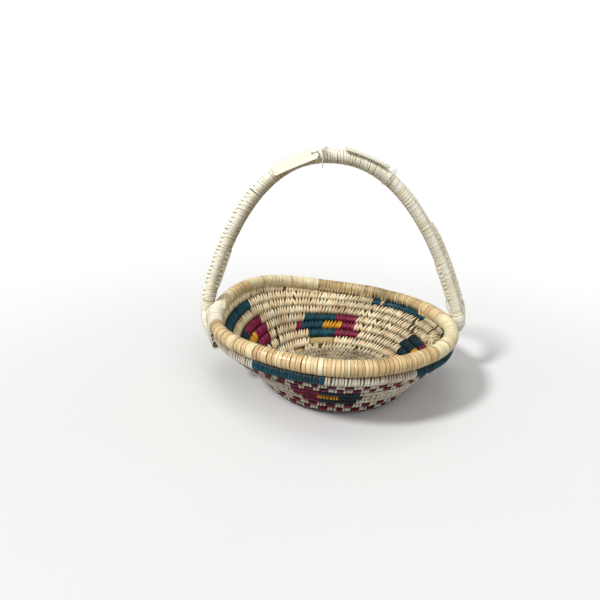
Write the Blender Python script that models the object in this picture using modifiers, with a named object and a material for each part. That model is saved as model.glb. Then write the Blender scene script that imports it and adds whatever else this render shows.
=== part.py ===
"""Coiled palm-leaf basket with a wrapped rim, a lashed arch handle and two blank swing tags.

Metres, +Z up. The origin is the middle of the base's underside, the handle spans X,
and -Y is the front. The bundle winds from the middle of the base out to its edge and
on up the wall, and every turn keeps the same pitch.
"""
import math

import bmesh
import bpy
import numpy as np
from mathutils import Matrix, Vector

# Driving sizes of the coiled bowl
COIL_DIAMETER = 0.0104
TURN_GAP = 0.0008
BASE_RADIUS = 0.0730
BASE_FLAT_DEPTH = 0.0010
EDGE_BEND = 0.0140
WALL_TURNS = 8.75
WALL_SLOPE_LOW = math.radians(55.7)
WALL_SLOPE_MIDDLE = math.radians(45.8)
WALL_SLOPE_HIGH = math.radians(39.8)
COIL_END_ANGLE = math.radians(75.0)
COIL_END_TAPER = 0.17
END_TIP = 0.22
START_TIP = 0.12
START_STEP = 0.20
SEAM_STRAIGHT = 0.0030
END_EASE = math.radians(24.0)
END_EASE_DEPTH = 0.33
START_KNOT_RADIUS = 0.0062
START_KNOT_HEIGHT = 0.0088
START_KNOT_ROUNDING = 0.0019

# How the mouth departs from a true circle: the wave's heights are shares of the base's radius
MOUTH_SHIFT_X = -0.0056
MOUTH_SHIFT_Y = 0.0084
MOUTH_OVAL = 0.997
MOUTH_WAVE = ((1, -0.0367, -0.0009), (2, 0.0070, -0.0352), (3, 0.0085, 0.0230), (4, -0.0172, -0.0129))
MOUTH_SHARE_POWER = 1.5

# Rim and handle
RIM_DIAMETER = 0.0155
RIM_WRAP_THICKNESS = 0.0028
RIM_TILT = math.radians(40.4)
BINDING_EXTRA = 0.0004
BINDING_HALF_ANGLE = math.radians(12.0)
HANDLE_DIAMETER = 0.0152
HANDLE_WRAP_THICKNESS = 0.0026
HANDLE_RISE = 0.1828
ARCH_SWEEP = math.radians(65.1)
ARCH_SIDE_POWER = 0.906
ARCH_TOP_POWER = 1.475
ARCH_LEAN = -0.0084
HANDLE_END_DIAMETER = 0.0100
LEFT_FOOT_ANGLE = math.radians(180.0)
RIGHT_FOOT_ANGLE = math.radians(9.0)
RIGHT_FOOT_OUTSET = 0.0040
TAIL_ANGLE = math.radians(21.0)
TAIL_DROP = 0.0090
LASHING_WIDTH = 0.0070
LASHING_THICKNESS = 0.0011
LASHING_TAILS = (0.70, 0.92)
LASHING_START = math.radians(190.0)
LASHING_END = math.radians(-75.0)
LACING_DIAMETER = 0.0046
LACING_NECK = 0.0030
LACING_PITCH = 0.0065

# Tags and their strings
TAG_LENGTH = 0.0525
TAG_WIDTH = 0.0155
TAG_THICKNESS = 0.0008
TAG_CLIP = 0.0035
TAG_HOLE_DIAMETER = 0.0036
TAG_HOLE_INSET = 0.0055
TAG_BOW = 0.45
TAG_STEPS = 8
STRING_DIAMETER = 0.0011
KNOT_DIAMETER = 0.0034
LOOP_CORNER = 0.0008

# Rows of hitches: name, first and last place on the arch, 1 outside it or -1 inside
LACINGS = (
    ("handle_lacing_outer_left", -0.97, -0.40, 1.0),
    ("handle_lacing_outer_right", 0.56, 0.97, 1.0),
    ("handle_lacing_inner_left", -0.90, -0.72, -1.0),
    ("handle_lacing_inner_right", 0.72, 0.90, -1.0),
)

# Tags: name, the knot's place on the arch, which side of it the tag lies, lean to the front, loose string
TAGS = (
    ("tag_left", -0.045, -1.0, math.radians(56.0), 0.0120),
    ("tag_right", 0.29, -1.0, math.radians(10.0), 0.0030),
)

# Running gaps, the steps that round shapes are drawn in, and the steps that lines are measured with
SEAT_GAP = 0.0003
RIM_SEAT = 0.0005
CORE_GAP = 0.0007
TURN_STEPS = 32
RIM_STEPS = 56
HANDLE_STEPS = 36
TAIL_STEPS = 8
LASHING_RIM_STEPS = 8
LASHING_TAIL_STEPS = 6
START_KNOT_SIDES = 20
HOLE_SIDES = 12
KNOT_SIDES = 10
STRING_RING_STEPS = 20
STRING_HANG_STEPS = 4
LOOP_CORNER_STEPS = 3
MERGE = 0.00001
PROFILE_STEP = 0.0005
TURN_PROBE = 0.001
ANGLE_PROBE = 0.001
ARCH_PROBE = 0.01
TAIL_PROBE = 0.01
TAG_PROBE = 0.2
SLEEVE_END_REACH = 1.2
END_EASE_STEPS = 17
ARCH_LENGTH_STEPS = 40

COIL_RADIUS = COIL_DIAMETER / 2
COIL_PITCH = COIL_DIAMETER + TURN_GAP
RIM_RADIUS = RIM_DIAMETER / 2
BINDING_RADIUS = RIM_RADIUS + BINDING_EXTRA
HANDLE_RADIUS = HANDLE_DIAMETER / 2
COIL_BASE_HEIGHT = COIL_RADIUS - BASE_FLAT_DEPTH
EDGE_REACH = BASE_RADIUS - COIL_RADIUS
TOP_REACH = EDGE_REACH + WALL_TURNS * COIL_PITCH
TAG_REACH = KNOT_DIAMETER / 2 + STRING_DIAMETER + 4 * SEAT_GAP
COIL_START_REACH = START_KNOT_RADIUS + SEAT_GAP

PALM = (0.80, 0.68, 0.45, 1.0)
GOLDEN_PALM = (0.76, 0.57, 0.28, 1.0)
PALE_PALM = (0.84, 0.76, 0.52, 1.0)
BUNDLE = (0.45, 0.36, 0.20, 1.0)
CARD = (0.90, 0.88, 0.80, 1.0)
STRING = (0.88, 0.87, 0.84, 1.0)


def start_scene():
    for item in list(bpy.data.objects):
        bpy.data.objects.remove(item)
    groups = {}
    for name in ("coiled_basket", "cutters"):
        groups[name] = bpy.data.collections.new(name)
        bpy.context.scene.collection.children.link(groups[name])
    return groups["coiled_basket"], groups["cutters"]


def material(name, colour, roughness):
    made = bpy.data.materials.new(name)
    made.use_nodes = True
    shader = made.node_tree.nodes["Principled BSDF"]
    shader.inputs["Base Color"].default_value = colour
    shader.inputs["Roughness"].default_value = roughness
    shader.inputs["Metallic"].default_value = 0.0
    return made


def finish(item, colour, roughness=0.7):
    """Give a sub-part its own material and smooth shading with crisp edges."""
    item.data.materials.clear()
    item.data.materials.append(material(item.name + "_finish", colour, roughness))
    if item.type == "MESH":
        item.data.shade_smooth()
        item.data.set_sharp_from_angle(angle=math.radians(40.0))
    return item


# The bowl's surface: reach runs from the middle along the base and up the wall

def profile_table():
    """Radius and height of the bundle's middle for each reach, by following the wall's slope."""
    reach = np.arange(0.0, TOP_REACH + 2 * RIM_DIAMETER, PROFILE_STEP)
    past_edge = np.clip((reach - EDGE_REACH) / EDGE_BEND, 0.0, 1.0)
    up_wall = np.clip((reach - EDGE_REACH) / (TOP_REACH - EDGE_REACH), 0.0, 1.0)
    low = (1.0 - up_wall) * (1.0 - 2.0 * up_wall)
    middle = 4.0 * up_wall * (1.0 - up_wall)
    high = up_wall * (2.0 * up_wall - 1.0)
    slope = past_edge * (WALL_SLOPE_LOW * low + WALL_SLOPE_MIDDLE * middle + WALL_SLOPE_HIGH * high)
    radius = np.concatenate(([0.0], np.cumsum(np.cos(slope[:-1]) * PROFILE_STEP)))
    height = np.concatenate(([0.0], np.cumsum(np.sin(slope[:-1]) * PROFILE_STEP)))
    return reach, radius, height + COIL_BASE_HEIGHT, slope


REACH, RADIUS, HEIGHT, SLOPE = profile_table()


def mouth_share(reach):
    """How much of the mouth's shift, oval and wave a reach takes: none on the base."""
    return max((reach - EDGE_REACH) / (TOP_REACH - EDGE_REACH), 0.0) ** MOUTH_SHARE_POWER


def mouth_wave(angle):
    shares = (c * math.cos(k * angle) + s * math.sin(k * angle) for k, c, s in MOUTH_WAVE)
    return BASE_RADIUS * sum(shares)


def bowl_point(angle, reach, outward=0.0):
    """A point on the bowl, moved square to the wall by outward."""
    slope = float(np.interp(reach, REACH, SLOPE))
    radius = float(np.interp(reach, REACH, RADIUS)) + outward * math.sin(slope)
    height = float(np.interp(reach, REACH, HEIGHT)) - outward * math.cos(slope)
    share = mouth_share(reach)
    oval = 1.0 + (MOUTH_OVAL - 1.0) * share
    return Vector((radius * math.cos(angle) + MOUTH_SHIFT_X * share,
                   radius * oval * math.sin(angle) + MOUTH_SHIFT_Y * share,
                   height + mouth_wave(angle) * share))


def start_radius(turn):
    """The bundle thickens from a tip to its full size over its first turn."""
    return COIL_RADIUS * min(START_TIP + (1.0 - START_TIP) * turn, 1.0)


def inner_edge(turn):
    """The edge towards the middle: against the knot at first, then against the turn before."""
    if turn >= 1.0:
        return inner_edge(turn - 1.0) + 2.0 * start_radius(turn - 1.0) + TURN_GAP
    step_out = min(max((turn - 1.0 + START_STEP) / START_STEP, 0.0), 1.0)
    return COIL_START_REACH + (2.0 * start_radius(0.0) + TURN_GAP) * step_out


def count_turns():
    """Turns from the start tip until the bundle's middle is at the top of the wall."""
    counts = np.arange(0.0, TOP_REACH / COIL_PITCH + 1.0, TURN_PROBE)
    return float(np.interp(TOP_REACH, [inner_edge(t) + start_radius(t) for t in counts], counts))


COIL_TURNS = count_turns()
SPLICE_TURN = COIL_TURNS - WALL_TURNS


def coil_radius(turn):
    """The bundle thins again at its end, under the rim."""
    ending = min((COIL_TURNS - turn) / COIL_END_TAPER * (1.0 - END_TIP) + END_TIP, 1.0)
    return start_radius(turn) * ending


def coil_reach(turn):
    """The inner edge rests on the turn before, so the middle moves in where the bundle is thin."""
    return inner_edge(turn) + coil_radius(turn)


def coil_angle(turn):
    return COIL_END_ANGLE + 2.0 * math.pi * (COIL_TURNS - turn)


def coil_point(turn):
    point = bowl_point(coil_angle(turn), coil_reach(turn))
    if turn < SPLICE_TURN:
        point.z = COIL_BASE_HEIGHT * coil_radius(turn) / COIL_RADIUS
    return point


def wall_stretch(angle, reach):
    """How far the mouth's shift and wave draw the turns apart at a place on the wall."""
    chord = bowl_point(angle, reach + COIL_PITCH / 2) - bowl_point(angle, reach - COIL_PITCH / 2)
    return chord.length / COIL_PITCH


def coil_size(turn):
    """The bundle's radius, which follows the wall's stretch."""
    return coil_radius(turn) * wall_stretch(coil_angle(turn), coil_reach(turn))


def turn_edge_reach(angle):
    """The upper edge of the topmost turn at an angle."""
    back = (angle - COIL_END_ANGLE) / (2.0 * math.pi)
    turn = COIL_TURNS - (back - math.floor(back))
    return coil_reach(turn) + coil_radius(turn)


def top_edge_reach(angle):
    """The line the rim rests on: the topmost turn's edge, eased over the step at the coil's end."""
    aside = np.linspace(-END_EASE, END_EASE, END_EASE_STEPS)
    depth = COIL_PITCH * END_EASE_DEPTH
    return max(turn_edge_reach(angle + d) - depth * (d / END_EASE) ** 2 for d in aside)


def rim_point(angle):
    """The rim's middle, resting on the topmost turn and tilted in from the wall's line."""
    reach = top_edge_reach(angle) - COIL_RADIUS
    middle = bowl_point(angle, reach)
    up_wall = (bowl_point(angle, reach + COIL_RADIUS) - middle).normalized()
    inward = Vector((-math.cos(angle), -math.sin(angle), 0.0))
    tilted = Matrix.Rotation(-RIM_TILT, 3, inward.cross(up_wall).normalized()) @ up_wall
    return middle + tilted * (COIL_RADIUS * wall_stretch(angle, reach) + RIM_SEAT + BINDING_RADIUS)


# Tubes along a path

def tube(name, group, points, radii, sides_level, closed=False, caps=True):
    """A round tube along points, as a mesh with welded caps."""
    curve = bpy.data.curves.new(name, "CURVE")
    curve.dimensions = "3D"
    curve.twist_mode = "MINIMUM"
    curve.bevel_depth = 1.0
    curve.bevel_resolution = sides_level
    curve.use_fill_caps = caps and not closed
    spline = curve.splines.new("POLY")
    spline.points.add(len(points) - 1)
    for control, point, radius in zip(spline.points, points, radii):
        control.co = (*point, 1.0)
        control.radius = radius
    spline.use_cyclic_u = closed
    guide = bpy.data.objects.new(name + "_curve", curve)
    group.objects.link(guide)
    graph = bpy.context.evaluated_depsgraph_get()
    mesh = bpy.data.meshes.new_from_object(guide.evaluated_get(graph))
    bpy.data.objects.remove(guide)
    shape = bmesh.new()
    shape.from_mesh(mesh)
    bmesh.ops.remove_doubles(shape, verts=shape.verts, dist=MERGE)
    bmesh.ops.recalc_face_normals(shape, faces=shape.faces)
    shape.to_mesh(mesh)
    shape.free()
    mesh.name = name
    item = bpy.data.objects.new(name, mesh)
    group.objects.link(item)
    return item


def sleeve(name, group, points, radii, sides_level, thickness):
    """An open-ended tube with a wall, round a core that passes through it."""
    item = tube(name, group, points, radii, sides_level, caps=False)
    bore = tube(name + "_bore", group, points, [r - thickness for r in radii], sides_level, caps=False)
    shape = bmesh.new()
    shape.from_mesh(bore.data)
    bmesh.ops.reverse_faces(shape, faces=shape.faces)
    shape.from_mesh(item.data)
    ends = [edge for edge in shape.edges if edge.is_boundary]
    for tip in (points[0], points[-1]):
        near = [e for e in ends if (e.verts[0].co - tip).length < SLEEVE_END_REACH * radii[0] + MERGE]
        bmesh.ops.bridge_loops(shape, edges=near)
    shape.to_mesh(item.data)
    shape.free()
    bpy.data.objects.remove(bore)
    return item


def floor_cut(item, cutters):
    """Cut a tube flat where it stands on the table."""
    cutter = cutters.objects.get("table_cutter")
    if cutter is None:
        depth = 4 * COIL_DIAMETER
        width = 4 * BASE_RADIUS
        bpy.ops.mesh.primitive_cube_add(size=1.0, location=(0.0, 0.0, -depth / 2))
        cutter = bpy.context.object
        cutter.name = "table_cutter"
        cutter.scale = (width, width, depth)
        for held in list(cutter.users_collection):
            held.objects.unlink(cutter)
        cutters.objects.link(cutter)
        cutter.hide_render = True
        cutter.display_type = "WIRE"
    cut = item.modifiers.new("table", "BOOLEAN")
    cut.operation = "DIFFERENCE"
    cut.solver = "EXACT"
    cut.object = cutter


# The coil

def turn_stations(first, last):
    """Turn counts between two ends, with stations at the same angles on every turn."""
    step = 1.0 / TURN_STEPS
    stations = [COIL_TURNS - k * step for k in range(int(COIL_TURNS / step) + 1)]
    inner = [t for t in reversed(stations) if first + step / 2 < t < last - step / 2]
    return [first] + inner + [last]


def coil(name, group, cutters, first, last):
    """A length of the coil, straight and square where it meets the next length at the splice."""
    turns = turn_stations(first, last)
    points = [coil_point(t) for t in turns]
    radii = [coil_size(t) for t in turns]
    meeting = coil_point(SPLICE_TURN)
    way = (meeting - coil_point(SPLICE_TURN - TURN_PROBE)).normalized()
    side = 1.0 if first >= SPLICE_TURN else -1.0
    square = [meeting + way * side * (SEAT_GAP / 2 + run) for run in (0.0, SEAM_STRAIGHT)]
    if side > 0.0:
        points = square + points[1:]
        radii = [COIL_RADIUS] * 2 + radii[1:]
    else:
        points = points[:-1] + square[::-1]
        radii = radii[:-1] + [COIL_RADIUS] * 2
    item = tube(name, group, points, radii, 2)
    floor_cut(item, cutters)
    finish(item, PALM)
    report_gap(name, points, radii)


def build_coil(group, cutters):
    bpy.ops.mesh.primitive_cylinder_add(vertices=START_KNOT_SIDES, radius=START_KNOT_RADIUS,
                                        depth=START_KNOT_HEIGHT, location=(0.0, 0.0, START_KNOT_HEIGHT / 2))
    knot = bpy.context.object
    knot.name = "base_start_knot"
    for held in list(knot.users_collection):
        held.objects.unlink(knot)
    group.objects.link(knot)
    dome = knot.modifiers.new("dome", "BEVEL")
    dome.width = START_KNOT_ROUNDING
    dome.segments = 2
    dome.limit_method = "ANGLE"
    finish(knot, PALM)
    coil("base_coil", group, cutters, 0.0, SPLICE_TURN)
    coil("wall_coil", group, cutters, SPLICE_TURN, COIL_TURNS)


def report_gap(name, points, radii):
    """Print the least gap between a coil's own turns, at its stations."""
    places = np.array([tuple(p) for p in points])
    thick = np.array(radii)
    least = 1.0
    for i in range(len(places) - TURN_STEPS // 2):
        later = slice(i + TURN_STEPS // 2, None)
        apart = np.linalg.norm(places[later] - places[i], axis=1) - thick[later] - thick[i]
        least = min(least, float(apart.min()))
    print(f"{name}: least gap between its turns {least * 1000:.2f} mm")


# The rim

def rim_arc(start, end):
    """Rim points between two angles, the first and last run straight so that neighbours meet square."""
    step = 2.0 * math.pi / RIM_STEPS
    count = max(2, round((end - start) / step))
    between = [rim_point(start + (end - start) * k / count) for k in range(1, count)]
    return rim_end(start, 1.0) + between + rim_end(end, -1.0)[::-1]


def rim_end(angle, side):
    """Two points on the rim's own line at a seam, half a gap from it and a little further on."""
    way = (rim_point(angle + ANGLE_PROBE) - rim_point(angle - ANGLE_PROBE)).normalized() * side
    return [rim_point(angle) + way * (SEAT_GAP / 2 + run) for run in (0.0, SEAM_STRAIGHT)]


def build_rim(group):
    ring = [rim_point(2.0 * math.pi * k / RIM_STEPS) for k in range(RIM_STEPS)]
    core_radius = RIM_RADIUS - RIM_WRAP_THICKNESS - CORE_GAP
    core = tube("rim_core", group, ring, [core_radius] * RIM_STEPS, 3, closed=True)
    finish(core, BUNDLE)
    right = RIGHT_FOOT_ANGLE
    left = LEFT_FOOT_ANGLE
    spans = (
        ("rim_binding_right", right - BINDING_HALF_ANGLE, right + BINDING_HALF_ANGLE, BINDING_EXTRA),
        ("rim_wrap_back", right + BINDING_HALF_ANGLE, left - BINDING_HALF_ANGLE, 0.0),
        ("rim_binding_left", left - BINDING_HALF_ANGLE, left + BINDING_HALF_ANGLE, BINDING_EXTRA),
        ("rim_wrap_front", left + BINDING_HALF_ANGLE, right + 2 * math.pi - BINDING_HALF_ANGLE, 0.0),
    )
    for name, start, end, extra in spans:
        points = rim_arc(start, end)
        radii = [RIM_RADIUS + extra] * len(points)
        item = sleeve(name, group, points, radii, 3, RIM_WRAP_THICKNESS + extra)
        finish(item, PALE_PALM if extra else GOLDEN_PALM, 0.5)


# The handle

FOOT_ANGLE = {-1: LEFT_FOOT_ANGLE, 1: RIGHT_FOOT_ANGLE}
FOOT_OUTSET = {-1: 0.0, 1: RIGHT_FOOT_OUTSET}


def foot_point(side):
    """Where the handle's middle passes the rim, just outside it: side is -1 on the left, 1 on the right."""
    angle = FOOT_ANGLE[side]
    rim = rim_point(angle)
    outward = Vector((math.cos(angle), math.sin(angle), 0.0))
    return rim + outward * (BINDING_RADIUS + SEAT_GAP + HANDLE_RADIUS + FOOT_OUTSET[side])


def arch_point(t):
    """The arch's middle line, t = -1 at the left foot and 1 at the right one."""
    left = foot_point(-1)
    right = foot_point(1)
    sweep = ARCH_SWEEP * abs(t)
    side = (math.sin(sweep) / math.sin(ARCH_SWEEP)) ** ARCH_SIDE_POWER
    foot = math.cos(ARCH_SWEEP) ** ARCH_TOP_POWER
    rise = (math.cos(sweep) ** ARCH_TOP_POWER - foot) / (1.0 - foot)
    across = 0.5 + 0.5 * math.copysign(side, t)
    point = left.lerp(right, across)
    along = (right - left).normalized()
    return point + Vector((0.0, 0.0, HANDLE_RISE * rise)) + along * ARCH_LEAN * rise


def arch_frame(t):
    """Middle, tangent towards the right foot, and outward direction of the arch at t."""
    tangent = arch_point(min(t + ARCH_PROBE, 1.0)) - arch_point(max(t - ARCH_PROBE, -1.0))
    plane = (foot_point(1) - foot_point(-1)).cross(Vector((0.0, 0.0, 1.0)))
    return arch_point(t), tangent.normalized(), plane.cross(tangent).normalized()


def tail_point(side, t):
    """The handle's end, turned along the wall under the rim: t = 0 at the foot, 1 at the tip."""
    start, tangent, _ = arch_frame(side)
    down = tangent * side
    angle = FOOT_ANGLE[side] + TAIL_ANGLE
    reach = top_edge_reach(angle) - TAIL_DROP
    off_wall = COIL_RADIUS + SEAT_GAP + handle_radius(1.0)
    end = bowl_point(angle, reach, off_wall)
    along = (end - bowl_point(angle - TAIL_ANGLE / 4, reach, off_wall)).normalized()
    pull = (end - start).length
    bend = (2 * t ** 3 - 3 * t ** 2 + 1) * start + (t ** 3 - 2 * t ** 2 + t) * pull * down
    return bend + (3 * t ** 2 - 2 * t ** 3) * end + (t ** 3 - t ** 2) * pull * along


def handle_radius(tail):
    """Full on the arch and slimmer towards the tip of each tail."""
    return HANDLE_RADIUS + (HANDLE_END_DIAMETER / 2 - HANDLE_RADIUS) * max(tail, 0.0)


def handle_path():
    """Points and radii of the whole handle, from the left tail's tip to the right one's."""
    tails = [(k + 1) / TAIL_STEPS for k in range(TAIL_STEPS)]
    left = [(tail_point(-1, t), handle_radius(t)) for t in reversed(tails)]
    right = [(tail_point(1, t), handle_radius(t)) for t in tails]
    arch = [(arch_point(-1.0 + 2.0 * k / HANDLE_STEPS), HANDLE_RADIUS) for k in range(HANDLE_STEPS + 1)]
    path = left + arch + right
    return [p for p, r in path], [r for p, r in path]


def build_handle(group):
    points, radii = handle_path()
    wrap = sleeve("handle_wrap", group, points, radii, 3, HANDLE_WRAP_THICKNESS)
    finish(wrap, PALE_PALM, 0.5)
    inner = [r - HANDLE_WRAP_THICKNESS - SEAT_GAP for r in radii]
    core = tube("handle_core", group, points, inner, 3)
    finish(core, BUNDLE)


def arch_length(start, end):
    steps = ARCH_LENGTH_STEPS
    places = [arch_point(start + (end - start) * k / steps) for k in range(steps + 1)]
    return sum((b - a).length for a, b in zip(places, places[1:]))


def build_lacing(group, name, start, end, side):
    """A row of hitches along the handle: side is 1 on the arch's outside and -1 on its inside."""
    knots = max(2, round(arch_length(start, end) / LACING_PITCH))
    points = []
    radii = []
    for k in range(2 * knots + 1):
        middle, tangent, outward = arch_frame(start + (end - start) * k / (2 * knots))
        offset = HANDLE_RADIUS + SEAT_GAP + LACING_DIAMETER / 2
        points.append(middle + outward * side * offset)
        radii.append((LACING_DIAMETER if k % 2 else LACING_NECK) / 2)
    finish(tube(name, group, points, radii, 1), PALE_PALM, 0.6)


def build_lashing(group, name, side, tail):
    """A strap over the rim and round the handle's tail, tucked in under the rim at both ends."""
    middle = tail_point(side, tail)
    centre = Vector((MOUTH_SHIFT_X, MOUTH_SHIFT_Y, 0.0))
    angle = math.atan2(middle.y - centre.y, middle.x - centre.x)
    rim = rim_point(angle)
    outward = Vector((math.cos(angle), math.sin(angle), 0.0))
    up = Vector((0.0, 0.0, 1.0))
    along = outward.cross(up)
    clear = 2 * SEAT_GAP + LASHING_THICKNESS / 2
    rim_turn = BINDING_RADIUS + clear
    tail_way = (tail_point(side, tail) - tail_point(side, tail - TAIL_PROBE)).normalized()
    square = abs(tail_way.dot(along))
    slant = math.sqrt(1.0 - square * square) / square
    tail_turn = handle_radius(tail) / square + LASHING_WIDTH * slant + clear
    offset = middle - rim
    place = Vector((offset.dot(outward), offset.dot(up)))
    lean = math.atan2(place.y, place.x)
    tangent = lean + math.acos((rim_turn - tail_turn) / place.length)
    over = [k / LASHING_RIM_STEPS for k in range(LASHING_RIM_STEPS + 1)]
    under = [k / LASHING_TAIL_STEPS for k in range(LASHING_TAIL_STEPS + 1)]
    path = [(Vector((0.0, 0.0)), rim_turn, LASHING_START + (tangent - LASHING_START) * k) for k in over]
    path += [(place, tail_turn, tangent + (LASHING_END - tangent) * k) for k in under]
    rays = [(hub, turn, Vector((math.cos(a), math.sin(a)))) for hub, turn, a in path]
    half = LASHING_THICKNESS / 2
    outline = [hub + ray * (turn + half) for hub, turn, ray in rays]
    outline += [hub + ray * (turn - half) for hub, turn, ray in reversed(rays)]
    curve = bpy.data.curves.new(name, "CURVE")
    curve.dimensions = "2D"
    curve.fill_mode = "BOTH"
    curve.extrude = LASHING_WIDTH / 2
    spline = curve.splines.new("POLY")
    spline.points.add(len(outline) - 1)
    for control, point in zip(spline.points, outline):
        control.co = (point.x, point.y, 0.0, 1.0)
    spline.use_cyclic_u = True
    guide = bpy.data.objects.new(name + "_curve", curve)
    guide.matrix_world = Matrix((
        (outward.x, up.x, along.x, rim.x),
        (outward.y, up.y, along.y, rim.y),
        (outward.z, up.z, along.z, rim.z),
        (0.0, 0.0, 0.0, 1.0)))
    group.objects.link(guide)
    item = mesh_from_curve(guide, name, group)
    finish(item, PALE_PALM, 0.5)


def mesh_from_curve(guide, name, group):
    bpy.context.view_layer.update()
    graph = bpy.context.evaluated_depsgraph_get()
    mesh = bpy.data.meshes.new_from_object(guide.evaluated_get(graph))
    shape = bmesh.new()
    shape.from_mesh(mesh)
    bmesh.ops.remove_doubles(shape, verts=shape.verts, dist=MERGE)
    bmesh.ops.recalc_face_normals(shape, faces=shape.faces)
    shape.to_mesh(mesh)
    shape.free()
    item = bpy.data.objects.new(name, mesh)
    item.matrix_world = guide.matrix_world
    group.objects.link(item)
    bpy.data.objects.remove(guide)
    return item


# The tags: each lies on the handle and swings on the string tied round it


def place_on_handle(t, lean, lift):
    """A point lift above the handle's surface at t, leaning from the arch's outside to the front."""
    middle, tangent, outward = arch_frame(t)
    front = tangent.cross(outward)
    front = front if front.y < 0 else -front
    normal = outward * math.cos(lean) + front * math.sin(lean)
    return middle + normal * (HANDLE_RADIUS + lift), tangent, normal


def tag_frame(t, side, lean):
    """Knot, card's end, the card's long, across and face directions, and how far it bows."""
    per_length = side * TAG_PROBE / arch_length(t, t + side * TAG_PROBE)
    near = t + per_length * TAG_REACH
    far = t + per_length * (TAG_REACH + TAG_LENGTH)
    lift = SEAT_GAP + TAG_THICKNESS / 2
    knot = place_on_handle(t, lean, SEAT_GAP + KNOT_DIAMETER / 2)[0]
    start = place_on_handle(near, lean, lift)[0]
    tip = place_on_handle(far, lean, lift)[0]
    rest, _, normal = place_on_handle((near + far) / 2, lean, lift)
    middle = (start + tip) / 2
    long_way = (tip - start).normalized()
    face = (normal - long_way * normal.dot(long_way)).normalized()
    across = face.cross(long_way).normalized()
    full_bow = (rest - middle).dot(face)
    bow = full_bow * TAG_BOW
    end = middle - long_way * (TAG_LENGTH / 2) + face * (full_bow - bow)
    return knot, end, long_way, across, face, bow


def bend_card(card, bow):
    """Split the card across at even stations and bow it along its length."""
    shape = bmesh.new()
    shape.from_mesh(card.data)
    for k in range(1, TAG_STEPS):
        everything = shape.verts[:] + shape.edges[:] + shape.faces[:]
        bmesh.ops.bisect_plane(shape, geom=everything, dist=MERGE,
                               plane_co=(TAG_LENGTH * k / TAG_STEPS, 0.0, 0.0), plane_no=(1.0, 0.0, 0.0))
    for corner in shape.verts:
        from_middle = 2.0 * corner.co.x / TAG_LENGTH - 1.0
        corner.co.z += bow * (1.0 - from_middle * from_middle)
    shape.to_mesh(card.data)
    shape.free()


def build_tag(group, name, t, side, lean, tail_length):
    knot, end, long_way, across, face, bow = tag_frame(t, side, lean)
    half = TAG_WIDTH / 2
    corner = TAG_CLIP / 3
    corners = [(0.0, half - TAG_CLIP), (TAG_CLIP, half), (TAG_LENGTH - corner, half),
               (TAG_LENGTH, half - corner), (TAG_LENGTH, corner - half),
               (TAG_LENGTH - corner, -half), (TAG_CLIP, -half), (0.0, TAG_CLIP - half)]
    hole = [(TAG_HOLE_INSET + TAG_HOLE_DIAMETER / 2 * math.cos(a), TAG_HOLE_DIAMETER / 2 * math.sin(a))
            for a in (2.0 * math.pi * k / HOLE_SIDES for k in range(HOLE_SIDES))]
    curve = bpy.data.curves.new(name, "CURVE")
    curve.dimensions = "2D"
    curve.fill_mode = "BOTH"
    curve.extrude = TAG_THICKNESS / 2
    for outline in (corners, hole):
        spline = curve.splines.new("POLY")
        spline.points.add(len(outline) - 1)
        for control, (x, y) in zip(spline.points, outline):
            control.co = (x, y, 0.0, 1.0)
        spline.use_cyclic_u = True
    guide = bpy.data.objects.new(name + "_curve", curve)
    guide.matrix_world = Matrix((
        (long_way.x, across.x, face.x, end.x),
        (long_way.y, across.y, face.y, end.y),
        (long_way.z, across.z, face.z, end.z),
        (0.0, 0.0, 0.0, 1.0)))
    group.objects.link(guide)
    card = mesh_from_curve(guide, name, group)
    bend_card(card, bow)
    finish(card, CARD, 0.8)
    loop = build_tag_loop(group, name + "_loop", end, long_way, face, bow)
    build_tag_string(group, name + "_string", t, lean, knot, tail_length)
    swing = bpy.data.objects.new(name + "_swing", None)
    swing.location = knot
    group.objects.link(swing)
    bpy.context.view_layer.update()
    for moving in (card, loop):
        moving.parent = swing
        moving.matrix_parent_inverse = swing.matrix_world.inverted()
    print(f"{name}: knot at {tuple(round(c, 5) for c in knot)}, bow {bow * 1000:.2f} mm")


def build_tag_loop(group, name, end, long_way, face, bow):
    """The string's eye: a rounded rectangle through the card's hole and back beside the knot."""
    from_middle = 2.0 * TAG_HOLE_INSET / TAG_LENGTH - 1.0
    hole = end + long_way * TAG_HOLE_INSET + face * bow * (1.0 - from_middle * from_middle)
    way = (long_way - face * (4.0 * bow * from_middle / TAG_LENGTH)).normalized()
    up = (face - way * face.dot(way)).normalized()
    high = TAG_THICKNESS / 2 + SEAT_GAP + STRING_DIAMETER / 2
    near = -TAG_HOLE_INSET - SEAT_GAP - STRING_DIAMETER / 2
    corners = ((0.0, high, 0.0), (near, high, 90.0), (near, -high, 180.0), (0.0, -high, 270.0))
    points = []
    for along, above, start in corners:
        middle = hole + way * (along - math.copysign(LOOP_CORNER, along - near / 2))
        middle += up * (above - math.copysign(LOOP_CORNER, above))
        for k in range(LOOP_CORNER_STEPS + 1):
            turn = math.radians(start + 90.0 * k / LOOP_CORNER_STEPS)
            points.append(middle + (way * math.cos(turn) + up * math.sin(turn)) * LOOP_CORNER)
    return finish(tube(name, group, points, [STRING_DIAMETER / 2] * len(points), 1, closed=True), STRING, 0.8)


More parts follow.
